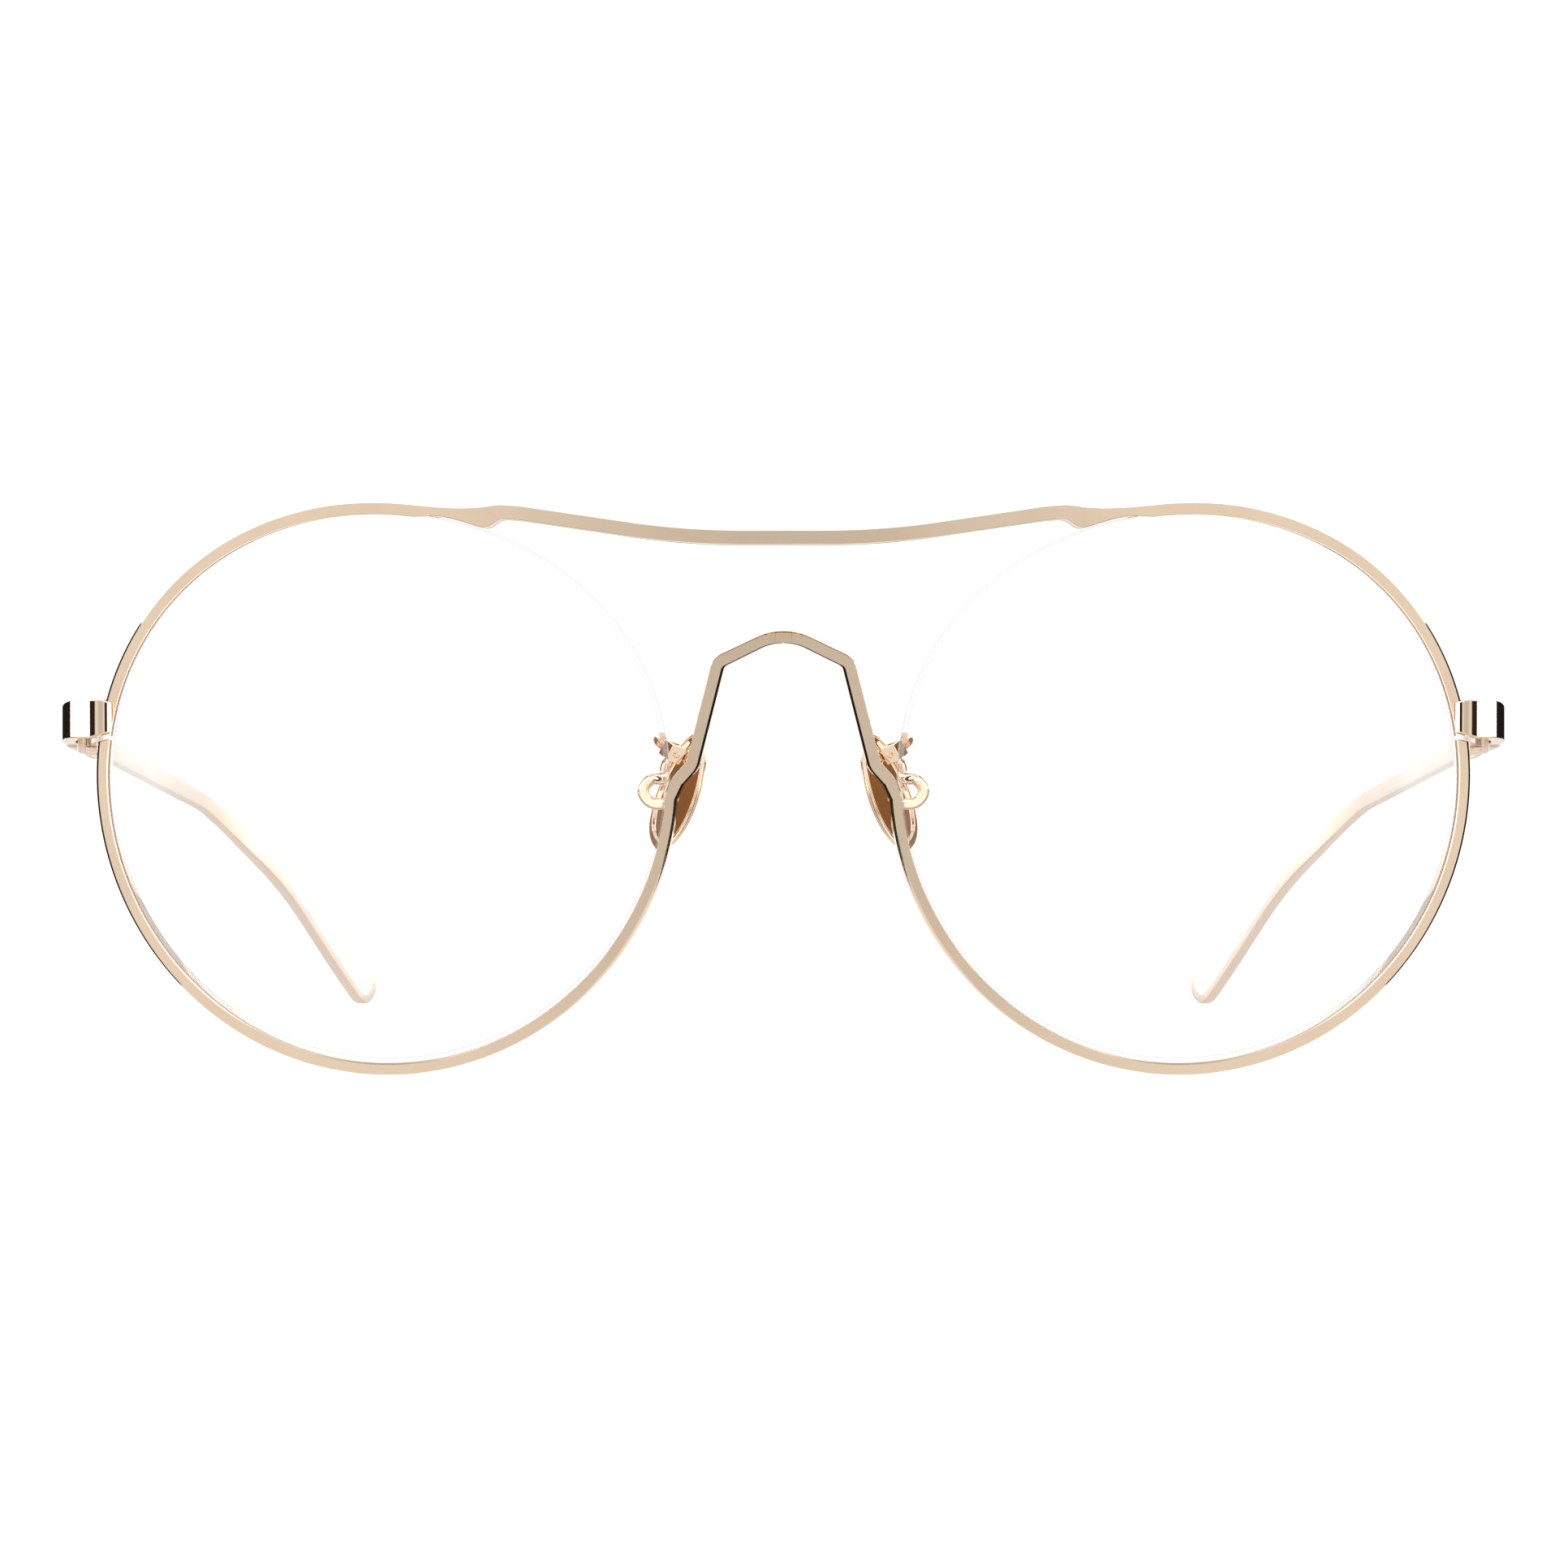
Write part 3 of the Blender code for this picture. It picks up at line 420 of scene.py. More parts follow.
# -------------------------------------- flat wires
def wire_ring(side, inner, outer, groove):
    """Ring of points round the flat wire's section, its front edges bevelled by direction."""
    across = (outer - inner).normalized()
    back_skin = WIRE_DEPTH - GROOVE_SKIN
    near = 0.04 + 0.12 * max(0.0, -across.y) ** 4
    far = 0.05 + 0.19 * across.x ** 2
    section = [(inner, near), (inner + across * near, 0.0), (outer - across * far, 0.0), (outer, far)]
    for edge, inward in ((outer, -across), (inner, across)):
        radius = 0.08
        corner = [(edge, WIRE_DEPTH - radius), (edge + inward * radius * 0.3, WIRE_DEPTH - radius * 0.3),
                  (edge + inward * radius, WIRE_DEPTH)]
        section += corner if edge is outer else corner[::-1]
    section += [
        (inner, back_skin),
        (inner + across * groove, back_skin),
        (inner + across * groove, GROOVE_SKIN),
        (inner, GROOVE_SKIN),
    ]
    return [on_front(side, point[0], point[1], behind) for point, behind in section]


def rim_stations(first, last):
    """Stations (inner edge, outer edge, groove depth) of the wire round a lens."""
    count = max(1, round(abs(last - first) / RIM_STEP))
    stations = []
    for k in range(count + 1):
        degrees = first + (last - first) * k / count
        inner = lens_point(degrees, -WIRE_LIP)
        outer = lens_point(degrees, WIRE_OUTSIDE)
        stations.append((inner, outer, WIRE_LIP + WIRE_CLEAR))
    return stations


def bar_height(out):
    """Height of the brow bar's centre line."""
    if out <= BAR_LEVEL:
        return BAR_Z
    reach = BAR_STRAIGHT - BAR_LEVEL
    if out <= BAR_STRAIGHT:
        return BAR_Z + BAR_SLOPE * (out - BAR_LEVEL) ** 2 / (2.0 * reach)
    return BAR_Z + BAR_SLOPE * (out - BAR_STRAIGHT + reach / 2.0)


def brow_stations():
    """Stations of half of the upper wire, from its split to the middle."""
    shallow = 0.03
    stations = rim_stations(UPPER_SPLIT, BROW_LEAVES)
    rows = stations[-2:]
    for out, top, bottom in BROW_NOTCH:
        rows.append((Vector((out, bottom)), Vector((out, top)), shallow))
    for out in (25.0, 22.0):
        z = bar_height(out)
        rows.append((Vector((out, z - BAR_HALF)), Vector((out, z + BAR_HALF)), shallow))
    for i in range(1, len(rows) - 2):
        for k in range(1, 5):
            inner = catmull(*[row[0] for row in rows[i - 1:i + 3]], k / 4.0)
            outer = catmull(*[row[1] for row in rows[i - 1:i + 3]], k / 4.0)
            stations.append((inner, outer, shallow))
    steps = 48
    for k in range(1, steps + 1):
        out = 25.0 * (1.0 - k / steps)
        z = bar_height(out)
        stations.append((Vector((out, z - BAR_HALF)), Vector((out, z + BAR_HALF)), shallow))
    return stations


def arch_drop():
    """How far the rounding lowers the top of the nose bridge below its corner."""
    (low_out, low_z), top_z = BRIDGE_CORNERS[-2][0], BRIDGE_CORNERS[-1][0][1]
    slope = math.atan2(top_z - low_z, low_out)
    return BRIDGE_CORNERS[-1][1] * (1.0 / math.cos(slope) - 1.0)


def bridge_stations():
    """Stations of half of the lower wire, from its split to the middle."""
    shallow = 0.03
    stations = rim_stations(LOWER_SPLIT, BRIDGE_LEAVES)
    start = (stations[-1][0] + stations[-1][1]) / 2.0
    corners = [corner for corner, radius in BRIDGE_CORNERS]
    radii = [radius for corner, radius in BRIDGE_CORNERS]
    mirrored = Vector((-corners[-2][0], corners[-2][1]))
    path = rounded_path([start] + corners + [mirrored], radii, math.radians(3.5))
    path = [point for point in path[1:-1] if point.x > 0.05]
    path.append(Vector((0.0, BRIDGE_CORNERS[-1][0][1] - arch_drop())))
    for i, point in enumerate(path):
        before = path[i - 1] if i else start
        after = path[i + 1] if i + 1 < len(path) else Vector((-path[i - 1].x, path[i - 1].y))
        along = (after - before).normalized()
        normal = Vector((along.y, -along.x))
        half = LEG_HALF + (ARCH_HALF - LEG_HALF) * min(1.0, max(0.0, (point.y - 39.0) / 2.0))
        stations.append((point + normal * half, point - normal * half, shallow))
    return stations


def make_wire(name, stations, material):
    """A flat wire from the left split to the right split, over stations of one half."""
    rings = [wire_ring(LEFT, *station) for station in stations]
    rings += [wire_ring(RIGHT, *station) for station in reversed(stations[:-1])]
    return even_faces(add_piece(name + "_fine", loft(rings), [material], "front", [name]))


# -------------------------------------- lenses
def make_lens(side, materials):
    """A domed lens; its edge and back bevel are ground, each with a fine darker border of painted shade.
    """
    count = round(360.0 / RIM_STEP)
    back_edge = LENS_FRONT + LENS_LAND + LENS_BEVEL
    front_pole = LENS_FRONT - LENS_DOME
    back_dome = back_edge - (front_pole + LENS_THICKNESS)

    def ring(part, insets, behind):
        points = []
        for k in range(count):
            degrees = 360.0 * k / count
            edge = lens_point(degrees, -interpolate(insets, degrees))
            centre = Vector((LENS_OUT, LENS_Z))
            point = centre + (edge - centre) * part
            points.append(on_front(side, point.x, point.y, behind))
        return points

    parts = (0.12, 0.24, 0.36, 0.48, 0.6, 0.7, 0.79, 0.87, 0.94, 1.0)
    line, flush = ((0.0, LENS_SHADE_LINE),), ((0.0, 0.0),)
    rings = [ring(f, line, LENS_FRONT - LENS_DOME * (1.0 - f * f)) for f in parts]
    edge_row = len(rings) - 1
    rings += [ring(1.0, flush, LENS_FRONT + LENS_SHADE_LINE), ring(1.0, flush, LENS_FRONT + LENS_LAND)]
    rings += [ring(f, LENS_INSETS, back_edge - back_dome * (1.0 - f * f))
              for f in (1.0, 0.9982) + parts[-2::-1]]
    first = on_front(side, LENS_OUT, LENS_Z, front_pole)
    last = on_front(side, LENS_OUT, LENS_Z, front_pole + LENS_THICKNESS)
    # Slot 2 is the grey line of painted shade at the borders of the ground faces; slot 1 is the ground
    # glass.
    finishes = {edge_row: 2, edge_row + 1: 1, edge_row + 2: 1, edge_row + 3: 2}
    builder = loft(rings, first, last, finishes)
    name = SIDE_NAMES[side] + "_lens"
    return add_piece(name + "_clear", builder, materials, "front", [name], 20.0)


# -------------------------------------- endpieces
def block_outline(end, toe, inset=0.0):
    """Outline of the bent block seen from above, as (out, depth) points."""
    cx, cy = BLOCK_CENTRE
    outer = BLOCK_OUTER - inset
    points = [(toe, BLOCK_TOE_FRONT + inset + TOE_BEVEL[1]), (toe + TOE_BEVEL[0], BLOCK_TOE_FRONT + inset)]
    for degrees in range(-90, 1, 3):
        angle = math.radians(degrees)
        points.append((cx + outer * math.cos(angle), cy + outer * math.sin(angle)))
    points.append((cx + outer, end))
    points.append((cx + BLOCK_INNER, end))
    for degrees in range(0, -76, -5):
        angle = math.radians(degrees)
        points.append((cx + BLOCK_INNER * math.cos(angle), cy + BLOCK_INNER * math.sin(angle)))
    points.append((cx + 0.55, BLOCK_TOE_BACK + 0.14))
    points.append((toe, BLOCK_TOE_BACK))
    return points


def block_middle(depth):
    """Height of the endpiece's middle, which runs downhill to the hinge."""
    return BLOCK_Z - BLOCK_SLOPE * max(0.0, depth - BLOCK_SLOPE_FROM)


def block_levels(out, depth):
    """Heights of the endpiece's underside and top at a point of its plan."""
    part = min(1.0, max(0.0, (depth - BLOCK_SLOPE_FROM) / (BLOCK_END - BLOCK_SLOPE_FROM)))
    half = (BLOCK_HEIGHT - BLOCK_TAPER * part) / 2.0
    toe = max(0.0, (TOE_FROM - out) / (TOE_FROM - BLOCK_TOE_OUT)) if depth < BLOCK_SLOPE_FROM else 0.0
    middle = block_middle(depth)
    return middle - half + TOE_LIFT * toe, middle + half - TOE_DROP * toe * toe


def make_endpiece(side, material, wing_material):
    """The bent block between rim and hinge, and the thin lower plate under it."""
    name = SIDE_NAMES[side] + "_endpiece"
    outline = block_outline(BLOCK_END, BLOCK_TOE_OUT)
    rings = [[place(side, p[0], p[1], block_levels(*p)[level]) for p in outline] for level in (0, 1)]
    soften(add_piece(name + "_polished", loft(rings), [material], "front", [name]),
           0.26, 5)
    name = SIDE_NAMES[side] + "_closure_wing"
    outline = [p for p in block_outline(BLOCK_END, BLOCK_TOE_OUT + 0.15, 0.25)
               if p[0] <= WING_REACH and p[1] < BLOCK_SLOPE_FROM]
    rings = [[place(side, p[0], p[1], block_levels(*p)[0] - drop) for p in outline]
             for drop in (WING_GAP + WING_THICKNESS, WING_GAP)]
    soften(add_piece(name + "_satin", loft(rings), [wing_material], "front", [name]),
           0.20, 4)


def make_rim_locks(side, material, screw_material):
    """The two halves that close the rim, and their screw with its slotted head below."""
    for label, shape in (("_upper_rim_lock", LOCK_UPPER), ("_lower_rim_lock", LOCK_LOWER)):
        out, low, high = shape
        centre = place(side, out, LOCK_FRONT + LOCK_DEPTH / 2.0, (low + high) / 2.0)
        builder = add_block(bmesh.new(), centre, front_axes(side), (LOCK_WIDTH, LOCK_DEPTH, high - low))
        name = SIDE_NAMES[side] + label
        soften(add_piece(name + "_rounded", builder, [material], "front", [name]), 0.18, 4)
    base = place(side, LOCK_SCREW_OUT, LOCK_FRONT + LOCK_DEPTH / 2.0, LOCK_LOWER[1])
    down = Vector((0.0, 0.0, -1.0))
    builder = add_turned(bmesh.new(), base, down, ((-6.5, 0.26), (0.2, 0.26)))
    slotted_head(builder, base + down * 0.18 * MM, down, 0.60, 0.55, slot=0.11)
    name = SIDE_NAMES[side] + "_rim_screw"
    add_piece(name + "_slotted", builder, [screw_material], "front", [name])


# -------------------------------------- hinges
def hinge_axes(side):
    """Outward, back and up directions of the hinge; up is the pin's direction."""
    outward = direction(side, (1.0, 0.0, 0.0))
    back = Vector((0.0, math.cos(TEMPLE_SLOPE), -math.sin(TEMPLE_SLOPE)))
    up = Vector((0.0, math.sin(TEMPLE_SLOPE), math.cos(TEMPLE_SLOPE)))
    return outward, back, up


def hinge_point(side, outward, back, up):
    """World point from distances along the hinge's own directions."""
    axes = hinge_axes(side)
    origin = place(side, HINGE_OUT, HINGE_DEPTH, HINGE_Z)
    return origin + (axes[0] * outward + axes[1] * back + axes[2] * up) * MM


def leaf_knuckle(builder, side, towards, low, high):
    """Add one knuckle of a leaf, a round barrel run out into the leaf's plate."""
    outline = [(PLATE_OUTER, 1.6), (PLATE_OUTER, 1.25)]
    for degrees in range(25, -271, -8):
        angle = math.radians(degrees)
        outline.append((KNUCKLE_RADIUS * math.cos(angle), KNUCKLE_RADIUS * math.sin(angle)))
    outline += [(PLATE_INNER, 1.35), (PLATE_INNER, 1.6)]
    rings = []
    for level in (low, high):
        rings.append([hinge_point(side, a, towards * b, level) for a, b in outline])
    return skin(builder, rings)


def make_leaf(side, label, towards, length, knuckles, material, body):
    """A hinge leaf: a plate with its knuckles round the pin."""
    builder = bmesh.new()
    middle = hinge_point(side, (PLATE_INNER + PLATE_OUTER) / 2.0, towards * (length + 1.35) / 2.0, 0.0)
    sizes = (PLATE_OUTER - PLATE_INNER, length - 1.35, 2.0 * HINGE_HALF)
    add_block(builder, middle, hinge_axes(side), sizes)
    for low, high in knuckles:
        leaf_knuckle(builder, side, towards, low, high)
    name = SIDE_NAMES[side] + label
    piece = add_piece(name + "_rounded", builder, [material], body, [name])
    return soften(piece, 0.07)


def make_hinge_screw(side, material):
    """The hinge screw, with its slotted head on top and a rounded end below."""
    up = hinge_axes(side)[2]
    profile = ((-1.82, 0.22), (-1.76, 0.38), (-1.6, 0.40), (HINGE_HALF + 0.12, 0.40))
    builder = add_turned(bmesh.new(), hinge_point(side, 0.0, 0.0, 0.0), up, profile)
    slotted_head(builder, hinge_point(side, 0.0, 0.0, HINGE_HALF + 0.06), up, 0.76, 0.44, slot=0.12)
    name = SIDE_NAMES[side] + "_hinge_screw"
    add_piece(name + "_slotted", builder, [material], "front", [name])


# -------------------------------------- temples
def temple_path():
    """Centre line of a temple in (out, depth, z), with the distance run at each point."""
    corners = [corner for corner, radius in TEMPLE_CORNERS]
    radii = [radius for corner, radius in TEMPLE_CORNERS]
    bends = rounded_path([TEMPLE_START] + corners + [TEMPLE_END], radii, math.radians(1.5))
    path = []
    for start, end in zip(bends, bends[1:]):
        pieces = max(1, round((end - start).length / 1.2))
        path += [start.lerp(end, k / pieces) for k in range(pieces)]
    last = bends[-1]
    aim = (last - path[-1]).normalized()
    path = [point for point in path if (last - point).length > TIP_ROUND]
    path += [last - aim * TIP_ROUND * f for f in (1.0, 0.86, 0.7, 0.54, 0.4, 0.28, 0.17, 0.09, 0.03)]
    path.append(last)
    distances = [0.0]
    for start, end in zip(path, path[1:]):
        distances.append(distances[-1] + (end - start).length)
    return path, distances


def path_frame(path, i):
    """Along, outward and upward directions of the temple at a point of its path."""
    before = path[max(0, i - 1)]
    after = path[min(len(path) - 1, i + 1)]
    along = (after - before).normalized()
    outward = along.cross(Vector((0.0, 0.0, 1.0))).normalized()
    return along, outward, outward.cross(along)


def tip_factor(remaining):
    """Share of the full height left near the rounded tip."""
    if remaining >= TIP_ROUND:
        return 1.0
    part = 1.0 - remaining / TIP_ROUND
    return max(0.12, math.sqrt(max(0.0, 1.0 - part * part)))


def rounded_section(half_a, half_b, radius, corner_steps=3):
    """Corner-rounded rectangle as (a, b) points."""
    points = []
    for sa, sb, start in ((1, 1, 0), (-1, 1, 90), (-1, -1, 180), (1, -1, 270)):
        for k in range(corner_steps + 1):
            angle = math.radians(start + 90.0 * k / corner_steps)
            points.append((sa * (half_a - radius) + radius * math.cos(angle),
                           sb * (half_b - radius) + radius * math.sin(angle)))
    return points


def make_temple(side, material, inlay_material):
    """A temple, a thin flat bar that broadens into a paddle, and the cushion on its inner side."""
    name = SIDE_NAMES[side]
    path, distances = temple_path()
    total = distances[-1]
    rings = []
    for i, point in enumerate(path):
        along, outward, upward = path_frame(path, i)
        height = interpolate(TEMPLE_HEIGHTS, distances[i]) * tip_factor(total - distances[i]) / 2.0
        thick = interpolate(TEMPLE_THICKNESSES, distances[i]) / 2.0
        thick *= 0.55 + 0.45 * tip_factor(total - distances[i])
        radius = min(0.28, thick * 0.8, height * 0.8)
        rings.append([place(side, *(point + outward * a + upward * b))
                      for a, b in rounded_section(thick, height, radius)])
    add_piece(name + "_temple_bar", loft(rings), [material], name + "_temple_arm",
              [name + "_temple"], 45.0)

    first = total - INLAY_LENGTH - INLAY_END
    last = total - INLAY_END
    steps = 60
    rings = []
    for k in range(steps + 1):
        at = first + (last - first) * (0.5 - 0.5 * math.cos(math.pi * k / steps))
        i = max(j for j in range(len(path) - 1) if distances[j] <= at)
        share = (at - distances[i]) / (distances[i + 1] - distances[i])
        point = path[i].lerp(path[i + 1], share)
        along, outward, upward = path_frame(path, i + (1 if share > 0.5 else 0))
        height = interpolate(TEMPLE_HEIGHTS, at) / 2.0 - INLAY_BORDER
        edge = min(at - first, last - at) / 1.4
        shrink = math.sqrt(min(1.0, max(0.0, 1.0 - (1.0 - min(1.0, edge)) ** 2)))
        height *= max(0.06, shrink)
        inner = interpolate(TEMPLE_THICKNESSES, at) / 2.0
        swell = INLAY_PROUD * max(0.15, shrink)
        ring = []
        for j in range(13):
            angle = math.pi * j / 12.0
            ring.append(place(side, *(point - outward * (inner + swell * math.sin(angle) ** 0.7)
                                      + upward * height * math.cos(angle))))
        ring.append(place(side, *(point - outward * (inner - 0.3) - upward * height)))
        ring.append(place(side, *(point - outward * (inner - 0.3) + upward * height)))
        rings.append(ring)
    add_piece(name + "_tip_cushion", loft(rings), [inlay_material], name + "_temple_arm",
              [name + "_tip_pad"], 50.0)


# -------------------------------------- nose pads
def pad_point(side, up, back, face):
    """World point from distances along the pad's own directions."""
    return place(side, *(PAD_CENTRE + PAD_UP * up + PAD_BACK * back + PAD_FACE * face))


def box_axes(side):
    """Directions along the pad screw, along the box and off the pad in the world."""
    return direction(side, SCREW_AXIS), direction(side, BOX_UP), direction(side, PAD_FACE)


def screw_point(side, along=0.0):
    """World point on the pad screw's axis, at a distance from the middle of the box."""
    spot = PAD_CENTRE + PAD_UP * PAD_BOSS_UP - PAD_FACE * PAD_BOX_OFF + SCREW_AXIS * along
    return place(side, *spot)


def pad_ring(side, size, face):
    """Oval ring of the pad, broader at its lower end, at a height over its middle plane."""
    count = 96
    points = []
    for k in range(count):
        angle = 2.0 * math.pi * k / count
        up = math.sin(angle)
        width = PAD_HALF_WIDTH * (1.0 - 0.16 * up)
        points.append(pad_point(side, PAD_HALF_LENGTH * up * size, width * math.cos(angle) * size, face))
    return points


def make_nose_pad(side, material):
    """A polished pad with a raised border round its dished back, and its tab."""
    name = SIDE_NAMES[side] + "_nose_pad"
    rows = ((0.25, 0.62), (0.5, 0.62), (0.62, 0.605), (0.74, 0.54), (0.84, 0.42), (0.92, 0.27),
            (0.97, 0.12), (0.995, -0.02), (1.0, -0.15), (1.0, -0.32), (0.99, -0.42), (0.965, -0.47),
            (0.935, -0.47), (0.905, -0.44), (0.885, -0.34), (0.865, -0.16), (0.84, -0.04),
            (0.78, 0.02), (0.6, 0.05), (0.3, 0.05))
    builder = loft([pad_ring(side, size, face) for size, face in rows])
    add_piece(name + "_shell", builder, [material], SIDE_NAMES[side] + "_pad",
              [name], 50.0)
    builder = bmesh.new()
    centre = pad_point(side, PAD_BOSS_UP, 0.0, -PAD_BOX_OFF / 2.0)
    add_block(builder, centre, box_axes(side), (0.55, 1.10, PAD_BOX_OFF + 0.9))
    foot = pad_point(side, PAD_BOSS_UP, 0.0, -0.25)
    add_turned(builder, foot, -direction(side, PAD_FACE),
               ((-0.4, 1.15), (0.0, 1.02), (0.25, 0.84), (0.5, 0.6), (0.7, 0.42)))
    tab = add_piece(name + "_tab", builder, [material], SIDE_NAMES[side] + "_pad", [])
    soften(tab, 0.12)


def make_pad_box(side, material):
    """The forked box that holds the pad's tab."""
    name = SIDE_NAMES[side] + "_pad_box"
    builder = bmesh.new()
    length, height, depth = BOX_SIZE
    cheek = (length - 0.95) / 2.0
    axes = box_axes(side)
    for sign in (-1, 1):
        centre = screw_point(side, sign * (length - cheek) / 2.0)
        add_block(builder, centre, axes, (cheek, height, depth))
    back = screw_point(side) - axes[2] * (depth / 2.0 - 0.12) * MM
    add_block(builder, back, axes, (length - 0.3, height, 0.24))
    soften(add_piece(name + "_rounded", builder, [material], "front", [name]), 0.22, 5)


def make_pad_screw(side, material):
    """The screw through the box, its slotted head standing off at the back."""
    name = SIDE_NAMES[side] + "_pad_screw"
    axis = direction(side, SCREW_AXIS)
    half = BOX_SIZE[0] / 2.0
    profile = ((-half - 0.33, 0.18), (-half - 0.22, 0.27), (half + 1.35, 0.28))
    builder = add_turned(bmesh.new(), screw_point(side), axis, profile)
    slotted_head(builder, screw_point(side, half + 1.3), axis, 0.68, 0.95, slot=0.12)
    add_piece(name + "_slotted", builder, [material], "front", [name])


def make_pad_arm(side, material):
    """The looped round wire from the back of the rim to the pad box, with its solder foot."""
    middle = PAD_CENTRE + PAD_UP * PAD_BOSS_UP - PAD_FACE * PAD_BOX_OFF
    end = middle - BOX_UP * (BOX_SIZE[1] / 2.0 - 0.1)
    start = Vector(ARM_POINTS[0]) + Vector((0.0, -0.62, 0.15))
    points = [tuple(start)] + list(ARM_POINTS) + [tuple(end - BOX_UP * 0.9), tuple(end)]
    path = smooth_curve(points, 14)
    rings = []
    across = None
    run = 0.0
    for i, point in enumerate(path):
        along = (path[min(i + 1, len(path) - 1)] - path[max(i - 1, 0)]).normalized()
        if across is None:
            across = along.orthogonal()
        across = (across - along * across.dot(along)).normalized()
        other = along.cross(across)
        if i:
            run += (point - path[i - 1]).length
        radius = ARM_RADIUS * (1.0 + 0.45 * max(0.0, 1.0 - run / 0.8) ** 2)
        ring = []
        for k in range(24):
            angle = math.pi * k / 12.0
            spoke = across * math.cos(angle) + other * math.sin(angle)
            ring.append(place(side, *(point + spoke * radius)))
        rings.append(ring)
    name = SIDE_NAMES[side] + "_pad_arm"
    add_piece(name + "_wire", loft(rings), [material], "front", [name], 50.0)


# -------------------------------------- materials
def new_material(name):
    """An empty node material with its shader."""
    material = bpy.data.materials.new(name)
    material.use_nodes = True
    return material, material.node_tree, material.node_tree.nodes["Principled BSDF"]


def noise(tree, scale, detail=3.0, stretch=(1.0, 1.0, 1.0)):
    """Noise in object space, scale in features per metre."""
    coordinates = tree.nodes.new("ShaderNodeTexCoord")
    mapping = tree.nodes.new("ShaderNodeMapping")
    mapping.inputs["Scale"].default_value = stretch
    texture = tree.nodes.new("ShaderNodeTexNoise")
    texture.inputs["Scale"].default_value = scale
    texture.inputs["Detail"].default_value = detail
    tree.links.new(coordinates.outputs["Object"], mapping.inputs["Vector"])
    tree.links.new(mapping.outputs["Vector"], texture.inputs["Vector"])
    return texture.outputs["Fac"]


def spread(tree, value, low, high, source=(0.3, 0.7)):
    """Map a noise value to a range."""
    node = tree.nodes.new("ShaderNodeMapRange")
    node.inputs["From Min"].default_value = source[0]
    node.inputs["From Max"].default_value = source[1]
    node.inputs["To Min"].default_value = low
    node.inputs["To Max"].default_value = high
    tree.links.new(value, node.inputs["Value"])
    return node.outputs["Result"]


def tint(tree, value, first, last):
    """Colour between two by a noise value."""
    ramp = tree.nodes.new("ShaderNodeValToRGB")
    ramp.color_ramp.elements[0].position = 0.35
    ramp.color_ramp.elements[0].color = (*first, 1.0)
    ramp.color_ramp.elements[1].position = 0.65
    ramp.color_ramp.elements[1].color = (*last, 1.0)
    tree.links.new(value, ramp.inputs["Fac"])
    return ramp.outputs["Color"]


def bump(tree, shader, value, strength, distance):
    """Bump from a noise value."""
    node = tree.nodes.new("ShaderNodeBump")
    node.inputs["Strength"].default_value = strength
    node.inputs["Distance"].default_value = distance
    tree.links.new(value, node.inputs["Height"])
    tree.links.new(node.outputs["Normal"], shader.inputs["Normal"])


def metal(name, first, last, rough, grain=(1.0, 1.0, 1.0), relief=0.05):
    """Plated metal: slight colour drift, fine polishing grain in roughness and bump."""
    material, tree, shader = new_material(name)
    shader.inputs["Metallic"].default_value = 1.0
    tree.links.new(tint(tree, noise(tree, 140.0), first, last), shader.inputs["Base Color"])
    fine = noise(tree, 5200.0, 4.0, grain)
    tree.links.new(spread(tree, fine, *rough), shader.inputs["Roughness"])
    bump(tree, shader, fine, relief, 0.00002)
    return material


def temple_metal():
    """Satin temple plating, warmer towards the hook; paler near the front by painted lightening, the
    plating being one rose gold.
    """
    material, tree, shader = new_material("rose_gold_temple")
    shader.inputs["Metallic"].default_value = 1.0
    drift = noise(tree, 140.0)
    # The pale tone is painted lightening near the front; the warm tone is the plating's own colour.
    pale = tint(tree, drift, (0.93, 0.82, 0.73), (0.95, 0.85, 0.76))
    warm = tint(tree, drift, (0.91, 0.73, 0.59), (0.94, 0.77, 0.63))
    coordinates = tree.nodes.new("ShaderNodeTexCoord")
    split = tree.nodes.new("ShaderNodeSeparateXYZ")
    tree.links.new(coordinates.outputs["Object"], split.inputs["Vector"])
    back = step(tree, split.outputs["Y"], 0.0, 0.045)
    tree.links.new(blend(tree, back, pale, warm), shader.inputs["Base Color"])
    fine = noise(tree, 5200.0, 4.0)
    tree.links.new(spread(tree, fine, 0.36, 0.46), shader.inputs["Roughness"])
    bump(tree, shader, fine, 0.05, 0.00002)
    return material


